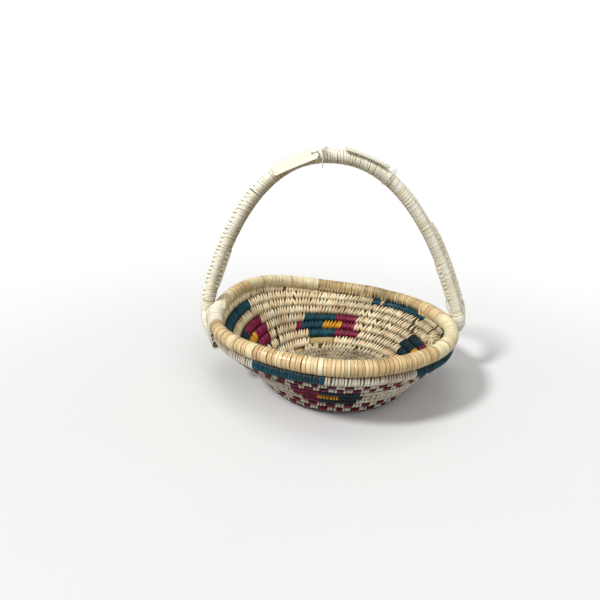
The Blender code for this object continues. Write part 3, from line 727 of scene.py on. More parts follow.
# Which stitch is dyed: rows are turns counted back from the coil's end, angles in degrees

NATURAL, BLEACHED, TEAL, DARK_TEAL, MAGENTA, YELLOW, GREEN = range(7)
STITCH_FINISHES = (PALM_NATURAL, PALM_OUTER, PALM_TEAL, PALM_TEAL_DARK, PALM_MAGENTA,
                   PALM_YELLOW, PALM_GREEN)
# Teal bands: row, first angle, last angle
TOP_BANDS = ((0, 24, 57), (0, 60, 66), (0, 306, 360), (0, 237, 268), (1, 155, 195))
# Motifs: the rows of each, and each row's runs of dye, first angle and last angle
MOTIFS = (
    ((4, ((TEAL, 91.5, 116.0), (MAGENTA, 73.5, 91.5))),
     (5, ((TEAL, 101.0, 120.5), (YELLOW, 86.0, 101.0), (MAGENTA, 69.5, 86.0),
          (MAGENTA, 122.5, 127.5))),
     (6, ((TEAL, 91.5, 116.0), (MAGENTA, 75.0, 91.5)))),
    ((3, ((DARK_TEAL, 178.0, 196.0), (MAGENTA, 156.5, 178.0))),
     (4, ((DARK_TEAL, 184.0, 200.0), (YELLOW, 172.0, 184.0), (MAGENTA, 154.0, 172.0))),
     (5, ((DARK_TEAL, 178.0, 194.0), (MAGENTA, 158.0, 178.0)))),
    ((3, ((DARK_TEAL, 264.0, 284.0), (MAGENTA, 248.5, 264.0))),
     (4, ((DARK_TEAL, 274.0, 286.5), (YELLOW, 262.5, 274.0), (MAGENTA, 249.0, 262.5))),
     (5, ((DARK_TEAL, 263.0, 284.0), (MAGENTA, 252.0, 263.0)))),
    ((3, ((DARK_TEAL, 366.0, 384.0), (MAGENTA, 352.0, 366.0))),
     (4, ((DARK_TEAL, 369.5, 388.0), (YELLOW, 360.0, 369.5), (MAGENTA, 349.0, 360.0))),
     (5, ((DARK_TEAL, 364.0, 386.0), (MAGENTA, 350.0, 364.0)))),
)
# Rows with strips floated over the outside: first and last place in turns, dashes in a turn
DASH_ROWS = ((1.36, 3.30, 50), (6.30, 8.25, 31))
DASH_SHARE = 0.49
DASH_START = 0.12
DASH_PAUSE = 0.04
# Gaps in the stitches on the inside: row, first angle, last angle
BARE = ((7, 94.5, 117.0), (8, 128.0, 141.0), (1, 355.0, 366.0), (2, 358.0, 364.0))


def row_and_angle(back):
    """The row of a place counted back from the end, and its angle in the turn from the end on."""
    row = int(math.floor(back))
    return row, END_DEGREES + 360.0 * (back - row)


def between(angle, start, end):
    """Whether an angle, or the same angle a turn less, lies between two angles."""
    return start <= angle <= end or start <= angle - 360 <= end


def stitch_dye(back):
    """The dye of the stitch at a place counted back from the end."""
    row, angle = row_and_angle(back)
    for band_row, start, end in TOP_BANDS:
        if row == band_row and between(angle, start, end):
            return TEAL
    for motif in MOTIFS:
        for motif_row, runs in motif:
            for dye, start, end in runs:
                if row == motif_row and between(angle, start, end):
                    return dye
    return NATURAL


def in_dash_rows(back):
    """The number of the dashed rows that a place lies in, or None."""
    for number, (start, end, _) in enumerate(DASH_ROWS):
        if start < back < end:
            return number
    return None


def dash_phase(back, number):
    """Where in the dash's period a place is: each row is half a period from the one below."""
    row, angle = row_and_angle(back)
    return (angle / 360.0 * DASH_ROWS[number][2] + 0.5 * (row % 2) + DASH_START) % 1.0


def is_bare(back):
    """Whether the bundle shows on the inside for lack of stitches."""
    row, angle = row_and_angle(back)
    return any(row == bare_row and between(angle, start, end) for bare_row, start, end in BARE)


# The bundle under the stitches

BUNDLE_SIDES = 12
BUNDLE_SKIP = 3
BUNDLE_LEAST_STEP = 1 * MM
BUNDLE_SHARE = 0.94
BUNDLE_INSET = 0.2 * MM
BUNDLE_FULL_RADIUS = 3 * MM
BUNDLE_GAP_SHARE = 0.55
BUNDLE_LOWEST = 0.45 * MM


def tube_faces(along, sides):
    """A tube's faces with both ends closed, and the texture place of every face corner."""
    faces = []
    texture = []
    for k, (here, after) in enumerate(zip(along[:-1], along[1:])):
        for j in range(sides):
            i = (j + 1) % sides
            faces.append((k * sides + j, k * sides + i, (k + 1) * sides + i, (k + 1) * sides + j))
            texture += [(j / sides, here), ((j + 1) / sides, here),
                        ((j + 1) / sides, after), (j / sides, after)]
    for row in (0, len(along) - 1):
        faces.append(tuple(row * sides + j for j in range(sides)))
        texture += [(j / sides, along[row]) for j in range(sides)]
    return faces, texture


def bundle_piece(name, start, end, node):
    """A length of the bare bundle as one tube on the coil's line."""
    runs = np.interp((start, end), COIL.turns, COIL.run)
    within = (COIL.run > runs[0] + BUNDLE_LEAST_STEP) & (COIL.run < runs[1] - BUNDLE_LEAST_STEP)
    along = np.concatenate(([runs[0]], COIL.run[within][::BUNDLE_SKIP], [runs[1]]))
    place, first, second, radius = COIL.look(along)
    turn = np.linspace(0.0, 2 * math.pi, BUNDLE_SIDES, endpoint=False)
    thick = np.minimum(radius * BUNDLE_SHARE, radius - BUNDLE_INSET)[:, None, None]
    tall = np.where(radius > BUNDLE_FULL_RADIUS, radius + BUNDLE_GAP_SHARE * TURN_GAP,
                    radius * BUNDLE_SHARE)[:, None, None]
    points = (place[:, None] + first[:, None] * np.cos(turn)[None, :, None] * thick
              + second[:, None] * np.sin(turn)[None, :, None] * tall)
    points[..., 2] = np.maximum(points[..., 2], BUNDLE_LOWEST)
    faces, texture = tube_faces(along, BUNDLE_SIDES)
    mesh = bpy.data.meshes.new(name)
    mesh.from_pydata(points.reshape(-1, 3).tolist(), [], faces)
    mesh.uv_layers.new(name="wrap").data.foreach_set("uv", np.array(texture, np.float32).ravel())
    back = COIL_TURNS - np.interp(along, COIL.run, COIL.turns)
    point_values(mesh, "bare", np.repeat([float(is_bare(b)) for b in back], BUNDLE_SIDES))
    mesh.materials.append(BUNDLE)
    return place_piece(mesh_piece(name, mesh), "bundle", node)


bundle_piece("bundle_base", 0.0, SPLICE_TURN, "base_coil")
bundle_piece("bundle_wall", SPLICE_TURN, COIL_TURNS, "wall_coil")


# Stitches: each wraps one side of the bundle, from the valley below it to over the turn above

STITCH_STATIONS = (-0.78, -0.56, -0.30, 0.0, 0.32, 0.60, 0.82)
STITCH = strip_blank(6, STITCH_STATIONS)
# A stitch's path: station, how far out of the wall and up it in bundle radii, width, crown
INSIDE_PATH = np.array((
    (-1.00, 0.34, -1.02, 0.68, 0.30),
    (-0.78, 0.62, -0.88, 1.02, 0.75),
    (-0.56, 0.88, -0.60, 1.14, 1.00),
    (-0.30, 1.04, -0.18, 1.12, 1.00),
    (0.00, 1.09, 0.20, 1.02, 1.00),
    (0.32, 1.09, 0.50, 0.86, 1.00),
    (0.60, 1.07, 0.80, 0.64, 1.00),
    (0.82, 1.02, 1.06, 0.38, 0.85),
    (1.00, 0.94, 1.26, 0.10, 0.40)))
OUTSIDE_PATH = np.array((
    (-1.00, 0.30, -1.02, 0.66, 0.30),
    (-0.78, 0.56, -0.90, 0.92, 0.75),
    (-0.56, 0.82, -0.66, 1.00, 1.00),
    (-0.30, 0.98, -0.28, 1.00, 1.00),
    (0.00, 1.02, 0.12, 1.00, 1.00),
    (0.32, 0.90, 0.50, 0.94, 1.00),
    (0.60, 0.70, 0.74, 0.84, 0.90),
    (0.82, 0.50, 0.88, 0.66, 0.75),
    (1.00, 0.30, 0.98, 0.40, 0.40)))
TOP_PATH = np.array((
    (-1.00, 0.30, -1.02, 0.66, 0.30),
    (-0.78, 0.56, -0.90, 0.92, 0.75),
    (-0.56, 0.82, -0.66, 1.00, 1.00),
    (-0.30, 1.00, -0.25, 1.00, 1.00),
    (0.00, 0.98, 0.30, 1.00, 1.00),
    (0.32, 0.74, 0.72, 0.96, 1.00),
    (0.60, 0.38, 0.98, 0.90, 0.95),
    (0.82, 0.02, 1.08, 0.80, 0.85),
    (1.00, -0.36, 1.10, 0.50, 0.40)))
# Millimetres from stitch to stitch at the front, and how many more there are at the back
SPACING_FRONT = 2.9
SPACING_BACK = 1.8
# Keeps the length of a way between two turns above nothing
TINY = 1e-9


def spacing_at(back):
    """Stitches stand wider apart along the back of the basket."""
    _, angle = row_and_angle(back)
    return (SPACING_FRONT + SPACING_BACK * max(math.sin(math.radians(angle)), 0.0) ** 0.5) * MM


def row_ways(runs):
    """Unit ways from the bundle's middle to the turn above and from the turn below."""
    turns = np.interp(runs, COIL.run, COIL.turns)
    here, _, second, _ = COIL.look(runs)
    above = COIL.look(np.interp(turns + 1, COIL.turns, COIL.run))[0]
    below = COIL.look(np.interp(turns - 1, COIL.turns, COIL.run))[0]
    up = np.where((turns + 1 <= COIL_TURNS)[:, None], unit(above - here + TINY), second)
    down = np.where((turns >= 1)[:, None], unit(here - below + TINY), second)
    return up, down


def path_places(path):
    """The path at each of the blank's vertices.

    It gives the shares out, up, of the width and of the crown, and the normal out and up."""
    stations = path[:, 0]
    way_out, way_up = (np.gradient(path[:, k], stations) for k in (1, 2))
    size = np.hypot(way_out, way_up)
    columns = (*path.T[1:], way_up / size, -way_out / size)
    return [np.interp(STITCH.places[:, 1], stations, column) for column in columns]


def stitch_places(along, side, width, crown, slant):
    """Copies of the stitch blank on the bundle; side is 1 outside and -1 inside."""
    blank = STITCH.places
    if side < 0:
        paths = (v[None, :] for v in path_places(INSIDE_PATH))
    else:
        under_rim = (np.interp(along, COIL.run, COIL.turns) + 1 > COIL_TURNS)[:, None]
        paths = (np.where(under_rim, top[None, :], usual[None, :])
                 for top, usual in zip(path_places(TOP_PATH), path_places(OUTSIDE_PATH)))
    out, up, narrow, high, lift_out, lift_up = paths
    thick = COIL.look(along)[3][:, None]
    shift = blank[:, 0] * narrow * width[:, None] / 2 - side * slant[:, None] * up
    place, first, _, _ = COIL.look(along[:, None] + shift)
    upward, downward = row_ways(along)
    way = np.where((up > 0)[..., None], upward[:, None], downward[:, None])
    height = np.maximum(blank[:, 2], -STITCH_BELLY) * high * crown[:, None]
    offset_out = (out * thick + lift_out * height) * side
    offset_up = up * thick + lift_up * height
    return place + first * offset_out[..., None] + way * offset_up[..., None]


# How deep in shade each part of a stitch lies: its foot inside, its hidden tip outside
STITCH_DEPTH = {
    -1: np.interp(STITCH.places[:, 1], (-1.0, -0.6, -0.3, 1.0), (0.9, 0.35, 0.0, 0.0)),
    1: np.interp(STITCH.places[:, 1], (-1.0, -0.7, -0.5, 0.2, 0.6, 1.0),
                 (0.9, 0.3, 0.0, 0.0, 0.75, 1.0))}
TOP_ROW_DEPTH = 0.7
# Under the base the strips are pressed flat: millimetres to their lower face and on to the upper
PRESSED_LOW = 0.05
PRESSED_HIGH = 0.35
STITCH_FLOOR = (PRESSED_LOW + PRESSED_HIGH * (1.0 - np.clip(STITCH.places[:, 2], 0.0, 1.0))) * MM
STITCH_BELLY = 0.35
# Where the stitches start and stop, from the bundle's tips
FREE_START = 2.0 * MM
FREE_END = 1.2 * MM
# Least and greatest shares of the spacing, from stitch to stitch and of a stitch's width
SPACING_RANGE = (0.88, 1.12)
WIDTH_RANGE = (0.90, 1.14)
# Millimetres: least and greatest crown, and how far a stitch strays along the bundle
CROWN_RANGE = (0.7, 1.3)
STRAY = 0.15
# Mean and spread: the slant outside in millimetres, inside in spacings, and the tone
SLANT_OUTSIDE = (0.6, 0.25)
SLANT_INSIDE = (0.52, 0.12)
STITCH_TONE = (0.5, 0.26)
# Shares of the stitches that are lost, and that cross the others
LOST_SHARE = 0.015
CROSSING_SHARE = {1: 0.03, -1: 0.05}
CROSSING_SLANT = -0.5
# Painted shade on the inside low in the bowl; at the right the inside is darker and its stitches
# narrower
SHADED_ROWS = (7.2, 8.8)
SHADED_LOW = 0.72
DARKER_RIGHT = 0.21
NARROW_RIGHT = 0.11
RIGHT_TURN = 0.3


def stitch_runs():
    """Where the stitches stand on the bundle, from its end back to its start."""
    runs = []
    run = COIL.length - FREE_END
    while run > FREE_START:
        runs.append(run)
        back = COIL_TURNS - float(np.interp(run, COIL.run, COIL.turns))
        run -= spacing_at(back) * draw.uniform(*SPACING_RANGE)
    return np.array(runs)


def row_stitches(chosen, back):
    """The stitches that one turn has on each side of the wall, each with its dye."""
    parts = {1: [], -1: []}
    for k in chosen:
        dye = stitch_dye(back[k])
        number = in_dash_rows(back[k])
        natural = dye == NATURAL
        dashed = number is not None and natural and dash_phase(back[k], number) < DASH_SHARE
        if not dashed:
            parts[1].append((k, BLEACHED if natural else dye))
        if not is_bare(back[k]) and not (natural and draw.random() < LOST_SHARE):
            parts[-1].append((k, dye))
    return parts


def sew_side(row, side, dyes, runs, back, gaps):
    """One turn's stitches on one side of the wall: places, tones and how deep in shade they lie."""
    n = len(runs)
    width = gaps * draw.uniform(*WIDTH_RANGE, n)
    crown = draw.uniform(*CROWN_RANGE, n) * MM
    if side > 0:
        slant = draw.normal(*SLANT_OUTSIDE, n) * MM
    else:
        slant = gaps * draw.normal(*SLANT_INSIDE, n)
    crossing = (draw.random(n) < CROSSING_SHARE[side]) & (dyes <= BLEACHED)
    slant = np.where(crossing, CROSSING_SLANT * slant, slant)
    tones = random_tones(n, *STITCH_TONE)
    depth = np.repeat(STITCH_DEPTH[side][None, :], n, axis=0)
    if side > 0 and row == 0:
        depth = depth * TOP_ROW_DEPTH
    if side < 0:
        to_right = np.maximum(np.cos(2.0 * math.pi * back + COIL_END_ANGLE - RIGHT_TURN), 0.0)
        width = width * (1.0 - NARROW_RIGHT * to_right)
        # painted shade low in the bowl, and darker towards the right
        low = SHADED_LOW * np.interp(back, SHADED_ROWS, (0.0, 1.0))
        depth = depth + (low + DARKER_RIGHT * to_right)[:, None]
    places = stitch_places(runs + draw.normal(0, STRAY, n) * MM, side, width, crown, slant)
    places[..., 2] = np.maximum(places[..., 2], STITCH_FLOOR)
    return places, tones, dyes, np.clip(depth, 0, 1)


def sew_rows():
    """All the stitches, one piece for each turn of the bundle."""
    runs = stitch_runs()
    back = COIL_TURNS - np.interp(runs, COIL.run, COIL.turns)
    gaps = np.array([spacing_at(b) for b in back])
    for row in range(int(back.max()) + 1):
        chosen = np.nonzero((back >= row) & (back < row + 1))[0]
        made = []
        for side, stitches in row_stitches(chosen, back).items():
            if stitches:
                index, dyes = (np.array(v) for v in zip(*stitches))
                made.append(sew_side(row, side, dyes, runs[index], back[index], gaps[index]))
        places, tones, dyes, depth = (np.concatenate(part) for part in zip(*made))
        item = stamp(f"stitches_turn_{row + 1:02d}", STITCH, places, tones, dyes, STITCH_FINISHES,
                     weather=depth)
        place_piece(item, "coil")


sew_rows()


# Strips floated over the outside of the dashed rows

FLOAT = sheet_blank(8, 5, 0.18)
FLOAT_CROWN = 1.2
FLOAT_SLANT = 1.1 * MM
FLOAT_STEP = 0.0004
FLOAT_TONE = (0.45, 0.22)
TUCK_POWER = 6
TUCK_DEPTH = 0.8


def float_places(middle, half, low, high, lift):
    """Copies of the sheet blank laid along the bundle's outside, its ends tucked in."""
    blank = FLOAT.places
    turn = np.radians(low + (high - low) * (blank[:, 0] * 0.5 + 0.5))
    tuck = np.abs(blank[:, 1]) ** TUCK_POWER
    along = middle[:, None] + blank[:, 1] * half[:, None] - FLOAT_SLANT * np.sin(turn)
    place, first, second, radius = COIL.look(along)
    reach = radius + (lift * (1 - TUCK_DEPTH * tuck) + blank[:, 2] * FLOAT_CROWN * MM)
    places = around(place, first, second, turn, reach)
    floor = np.where(blank[:, 2] > 0, PRESSED_LOW, PRESSED_HIGH) * MM
    places[..., 2] = np.maximum(places[..., 2], floor)
    return places


def lay_floats():
    """The floated strips of the dashed rows: one piece for each dye and pair of rows."""
    for number, (start, end, _) in enumerate(DASH_ROWS):
        fine = np.arange(start, end, FLOAT_STEP)
        phases = np.array([dash_phase(b, number) for b in fine])
        plain = np.array([stitch_dye(b) == NATURAL for b in fine])
        laid = (
            # name, where, dye, first and last angle round the bundle, height over it
            ("floats_magenta", phases < DASH_SHARE, MAGENTA, -70.0, 38.0, 0.95 * MM),
            ("floats_green", phases > DASH_SHARE + DASH_PAUSE, GREEN, -46.0, -6.0, 1.25 * MM))
        for name, dashes, dye, low, high, lift in laid:
            shown = dashes & plain
            edges = np.nonzero(np.diff(shown.astype(int)))[0]
            spans = [(fine[a], fine[b]) for a, b in zip(edges[:-1], edges[1:]) if shown[a + 1]]
            runs = np.interp(COIL_TURNS - np.array(spans), COIL.turns, COIL.run)
            half = np.abs(runs[:, 1] - runs[:, 0]) / 2
            places = float_places(runs.mean(1), half, low, high, lift)
            n = len(places)
            item = stamp(f"{name}_{number + 1}", FLOAT, places, random_tones(n, *FLOAT_TONE),
                         np.zeros(n), (STITCH_FINISHES[dye],))
            place_piece(item, "coil")


lay_floats()


# Strips wound round the rim and the handle

RING = ring_blank(20, RING_SIDES)
# The strip's section, across and height, from one edge to the other
RING_SECTION = np.array(((-1.0, -0.60), (-0.91, -0.02), (0.0, 0.07), (0.91, -0.02),
                         (1.0, -0.60)))
RING_SECTION_START = 2


def ring_section_of(blank):
    """Each vertex's angle round the core and its place in the strip's section."""
    round_core = np.arctan2(blank.places[:, 1], blank.places[:, 0])
    reach = np.hypot(blank.places[:, 0], blank.places[:, 1]) - RING_MAJOR
    minor = np.arctan2(blank.places[:, 2], reach)
    number = np.round(minor / (2 * math.pi / RING_SIDES)).astype(int)
    section = RING_SECTION[(number + RING_SECTION_START) % RING_SIDES]
    return round_core, section[:, 0], section[:, 1]


ROUND_CORE, SECTION_ACROSS, SECTION_HEIGHT = ring_section_of(RING)


def rim_seats():
    """How far below each place on the rim the top row lies, and in which cross direction."""
    apart = COIL.places[None] - RIM.places[:, None]
    clear = np.linalg.norm(apart, axis=-1) - COIL.radius[None]
    nearest = clear.argmin(1)
    each = np.arange(len(nearest))
    way = apart[each, nearest]
    angle = np.arctan2(np.sum(way * RIM.second, -1), np.sum(way * RIM.first, -1))
    return clear[each, nearest] - RIM_RADIUS, np.unwrap(angle)


RIM_CLEAR, RIM_DOWN = rim_seats()
RIM_OVERLAP = 0.4 * MM


def ring_places(line, middle, width, slant, grow, lean, step_up):
    """Copies of the ring blank round a line.

    Slant shifts one side of a ring along the line, and step_up lifts one edge of it."""
    turn = ROUND_CORE[None, :]
    along = (middle[:, None] + SECTION_ACROSS * width[:, None] / 2
             + slant[:, None] * np.sin(turn - lean[:, None]))
    place, first, second, radius = line.look(along)
    height = (SECTION_HEIGHT + SECTION_ACROSS * step_up[:, None]) * MM
    reach = radius * grow[:, None] + height
    if line is RIM:
        at = np.mod(along, line.length)
        clear = np.maximum(np.interp(at, line.run, RIM_CLEAR) + RIM_OVERLAP, 0.0)
        down = np.interp(at, line.run, RIM_DOWN)
        reach = reach + clear * np.maximum(np.cos(turn - down), 0.0) ** 3
    return around(place, first, second, turn, reach)


def strip_widths(length, mean, spread, least):
    """Random strip widths that fill a length exactly."""
    widths = []
    while sum(widths) < length:
        widths.append(max(least, draw.normal(mean, spread)))
    widths = np.array(widths)
    return widths * length / widths.sum()


# How much wider than its share of the line a strip is, then what differs from strip to strip
STRIP_OVERLAP = 1.03
SLANT_SPREAD = 0.22 * MM
LEAN_SPREAD = 0.2
GROW_SPREAD = 0.006
STEP_UP = (0.06, 0.10)
TONE_SPREAD = 0.24
OTHER_SHARE = 0.08


def at_each(value, places):
    """A value that is either given or a function of the place."""
    return value(places) if callable(value) else value


def wind(name, line, start, end, sizes, slant, grow, tone, materials, slot, *nodes, painted_shade=None):
    """Strips wound side by side along a line.

    Sizes are the mean width, its spread and the least width. Grow is the strips' size as a
    share of the line's radius. A few strips have the second material."""
    widths = strip_widths(end - start, *sizes)
    edges = start + np.concatenate(([0.0], np.cumsum(widths)))
    middle = (edges[:-1] + edges[1:]) / 2
    n = len(middle)
    slants = draw.normal(slant, SLANT_SPREAD, n)
    leans = draw.normal(math.pi / 2, LEAN_SPREAD, n)
    grows = grow * draw.normal(1.0, GROW_SPREAD, n)
    steps = draw.normal(*STEP_UP, n)
    places = ring_places(line, middle, widths * STRIP_OVERLAP, slants, grows, leans, steps)
    tones = random_tones(n, at_each(tone, middle), TONE_SPREAD)
    slots = (draw.random(n) < OTHER_SHARE).astype(int) if len(materials) > 1 else np.zeros(n, int)
    # painted shade, when given, darkens the strips by a share at each vertex
    item = stamp(name, RING, places, tones, slots, materials, texture_length=ROUND_TEXTURE,
                 weather=at_each(painted_shade, middle))
    return place_piece(item, slot, *nodes)


def rim_run(degrees):
    """Arc length on the rim's line of an angle, which may pass a full turn."""
    whole = math.floor(degrees / 360.0)
    part = math.radians(degrees - 360.0 * whole)
    return whole * RIM.length + float(np.interp(part, RIM.angle, RIM.run))


# Mean width, its spread and the least width
WIDE_STRIPS = (3.5 * MM, 1.0 * MM, 1.9 * MM)
CLOSE_STRIPS = (2.9 * MM, 0.9 * MM, 1.6 * MM)
FINE_STRIPS = (2.4 * MM, 0.6 * MM, 1.5 * MM)
# Angles on the rim where its strips change
FRONT_RIGHT = 318.0
BACK_MIDDLE = 101.0
BACK_LEFT = 150.0
FOOT_RIGHT = 12.5
FOOT_OVERLAP = 1.2
CLOUDS_ROUND_RIM = 7


def cloudy_tone(runs):
    """A middle tone that comes and goes round the rim."""
    return 0.5 + 0.12 * np.sin(runs / RIM.length * 2 * math.pi * CLOUDS_ROUND_RIM)


def wind_rim():
    """The rim's strips, in stretches that differ in width, slant, tone and finish."""
    left = math.degrees(FOOT_ANGLE[-1])
    right = math.degrees(FOOT_ANGLE[1])
    half = math.degrees(BINDING_HALF_ANGLE)
    thicker = BINDING_RADIUS / RIM_RADIUS
    stretches = (
        # name, angles, widths, slant in millimetres, size, tone, finishes, slot and node
        ("rim_strips_front", left + half, FRONT_RIGHT, WIDE_STRIPS, 0.2, 1.0, cloudy_tone,
         (RIM_GOLD, RIM_PALE), "golden_wrap", "rim_wrap_front"),
        ("rim_strips_front_right", FRONT_RIGHT, right + 360 - half, FINE_STRIPS, 0.2, 1.0,
         cloudy_tone, (RIM_PALE, RIM_GOLD), "golden_wrap"),
        ("rim_strips_back_right", right + half - FOOT_OVERLAP, BACK_MIDDLE, CLOSE_STRIPS, 0.5, 1.0,
         cloudy_tone, (RIM_DULL, RIM_GOLD), "golden_wrap", "rim_wrap_back"),
        ("rim_strips_foot_right", FOOT_RIGHT, right + half, FINE_STRIPS, 0.3, thicker, 0.2,
         (RIM_DULL,), "golden_wrap"),
        ("rim_strips_back_left", BACK_MIDDLE, BACK_LEFT, CLOSE_STRIPS, 0.6, 1.0, cloudy_tone,
         (RIM_PALE, RIM_GOLD), "golden_wrap"),
        ("rim_strips_left", BACK_LEFT, left - half, CLOSE_STRIPS, 0.4, 1.0, cloudy_tone,
         (RIM_GOLD, RIM_PALE), "golden_wrap"),
        ("rim_binding_strips_left", left - half, left + half, FINE_STRIPS, 0.4, thicker, 0.7,
         (RIM_PALE,), "pale_wrap", "rim_binding_left"),
        ("rim_binding_strips_right", right - half, FOOT_RIGHT, FINE_STRIPS, 0.4, thicker, 0.7,
         (RIM_PALE,), "pale_wrap", "rim_binding_right"))
    for name, low, high, sizes, slant, *rest in stretches:
        wind(name, RIM, rim_run(low), rim_run(high), sizes, slant * MM, *rest)


wind_rim()


TIP_GAP = 0.3 * MM
HANDLE_STRIPS = (2.5 * MM, 0.8 * MM, 1.3 * MM)
HANDLE_SLANT = 0.9 * MM


def wind_handle():
    """Close, slightly slanting strips from tip to tip, with painted shade on the left arm's inner
    side and in the groove in front of the right arm's lacing.
    """
    # painted shade: the side turned away from the lamp, and a recessed groove beside the lacing
    inner = np.clip(0.22 - np.cos(ROUND_CORE) * 0.75, 0.0, 1.0)
    groove = 0.75 * np.exp(-((ROUND_CORE - 0.85) / 0.2) ** 2)

    def painted_shade(middle):
        """Painted shade on the left arm's inner side, and in the groove in front of the right arm's
        lacing.
        """
        on_left = [arch_run(t) for t in (-0.3, 0.4)]
        on_right = [arch_run(t) for t in (0.3, 0.5, 0.98, 1.0)]
        left = np.interp(middle, on_left, (1.0, 0.25))[:, None]
        right = np.interp(middle, on_right, (0, 1, 1, 0))[:, None]
        return np.clip(left * inner + right * groove, 0.0, 1.0)

    wind("handle_strips", HANDLE, TIP_GAP, HANDLE.length - TIP_GAP, HANDLE_STRIPS, HANDLE_SLANT,
         1.0, 0.6, (HANDLE_PALM,), "pale_wrap", "handle_wrap", painted_shade=painted_shade)


wind_handle()


# Lashings: strips over the rim and round the handle's tail

LASH_STRIPS = 17
LASH_GAP = 0.3 * MM
LASH_CROWN = 1.4
# Millimetres: least and greatest width, and the slant's mean and spread
LASH_WIDTH = (3.4, 4.4)
LASH_SLANT = (1.6, 0.5)
LASH_TURN = 0.6
LASH_TONE = (0.65, 0.15)


def lash(side, name, finish):
    """Strips that go over the rim and round the handle's tail, side by side along the tail."""
    tail = np.linspace(0.20, 0.98, LASH_STRIPS)
    centres = tail_places(side, tail)
    radii = (HANDLE_RADIUS + (HANDLE_END_RADIUS - HANDLE_RADIUS) * tail)[:, None]
    nearest = np.linalg.norm(RIM.places[None] - centres[:, None], axis=-1).argmin(1)
    apart = centres - RIM.places[nearest]
    turn = ROUND_CORE[None, :]
    tail_x = np.sum(apart * RIM.first[nearest], -1)[:, None]
    tail_y = np.sum(apart * RIM.second[nearest], -1)[:, None]
    on_tail = tail_x * np.cos(turn) + tail_y * np.sin(turn) + radii + LASH_GAP
    over_tail = on_tail > BINDING_RADIUS + LASH_GAP
    height = SECTION_HEIGHT * LASH_CROWN * MM
    reach = np.where(over_tail, radii, BINDING_RADIUS) + LASH_GAP + height
    x = over_tail * tail_x + np.cos(turn) * reach
    y = over_tail * tail_y + np.sin(turn) * reach
    widths = draw.uniform(*LASH_WIDTH, LASH_STRIPS) * MM
    along = (RIM.run[nearest][:, None] + SECTION_ACROSS * widths[:, None] / 2
             + draw.normal(*LASH_SLANT, LASH_STRIPS)[:, None] * MM * np.sin(turn - LASH_TURN))
    place, first, second, _ = RIM.look(along)
    places = place + first * x[..., None] + second * y[..., None]
    tones = random_tones(LASH_STRIPS, *LASH_TONE)
    item = stamp(f"lashing_strips_{name}", RING, places, tones, np.zeros(LASH_STRIPS), (finish,),
                 texture_length=ROUND_TEXTURE, weather=np.zeros(len(ROUND_CORE)))
    place_piece(item, "pale_wrap", f"lashing_{name}_1", f"lashing_{name}_2")


lash(-1, "left", HANDLE_PALM)
lash(1, "right", RIM_GOLD)


# Strands: short pieces of palm strip laid along five points

STRAND = strip_blank(6, (-0.5, 0.0, 0.5))
STRAND_POINTS = 5
STRAND_TONE = (0.6, 0.2)
# A strand's width along it: blunt at both ends, or drawn out to a point at the far one
BLUNT = 1 - 0.35 * np.abs(STRAND.places[:, 1]) ** 4
POINTED = np.interp(STRAND.places[:, 1], (-1.0, -0.4, 0.4, 1.0), (0.8, 1.0, 0.66, 0.08))


def strand_places(paths, half_widths, crown, outward, ends):
    """Copies of the strand blank along paths of STRAND_POINTS points, narrowed by its ends."""
    blank = STRAND.places
    share = (blank[:, 1] + 1) / 2 * (STRAND_POINTS - 1)
    low = np.clip(np.floor(share).astype(int), 0, STRAND_POINTS - 2)
    part = (share - low)[None, :, None]
    here, after = paths[:, low], paths[:, low + 1]
    point = here * (1 - part) + after * part
    way = unit(after - here)
    up = unit(outward[:, None] - way * np.sum(outward[:, None] * way, -1, keepdims=True))
    across = np.cross(way, up)
    return (point + across * (blank[:, 0] * ends * half_widths[:, None])[..., None]
            + up * (blank[:, 2] * ends * crown[:, None])[..., None])


def strand_sizes(size, n):
    """Sizes of n strands from millimetres: drawn between two limits, or the same for all."""
    return draw.uniform(*size, n) * MM if isinstance(size, tuple) else np.full(n, size * MM)


def strand_piece(name, strands, half_width, crown, ends, finishes, slot, dyes=0):
    """A piece of strands, each given as its path and its way out of what it lies on.

    Half width and crown are millimetres, one number or the two limits they are drawn between.
    """
    paths, outward = (np.array(v) for v in zip(*strands))
    n = len(paths)
    half_widths = strand_sizes(half_width, n)
    places = strand_places(paths, half_widths, strand_sizes(crown, n), outward, ends)
    item = stamp(name, STRAND, places, random_tones(n, *STRAND_TONE), np.broadcast_to(dyes, n),
                 finishes, weather=np.zeros(len(STRAND.places)))
    return place_piece(item, slot)


TOOTH_ANGLES = (-96.0, -82.0, -66.0, -48.0)
TOOTH_SPREAD = 9.0
TOOTH_SPACING = (0.85, 1.15)
TOOTH_START = 2 * MM
TOOTH_STOP = 4 * MM
TOOTH_OVERLAP = 0.3 * MM
TOOTH_LIFT = 0.45 * MM
TOOTH_FOOT_TURN = 0.3
TOOTH_FOOT_REACH = 1.08
# Millimetres: the slant's mean and spread, the least and greatest half width and crown
TOOTH_SLANT = (2.4, 0.6)
TOOTH_HALF_WIDTH = (1.2, 1.7)
TOOTH_CROWN = (0.3, 0.5)


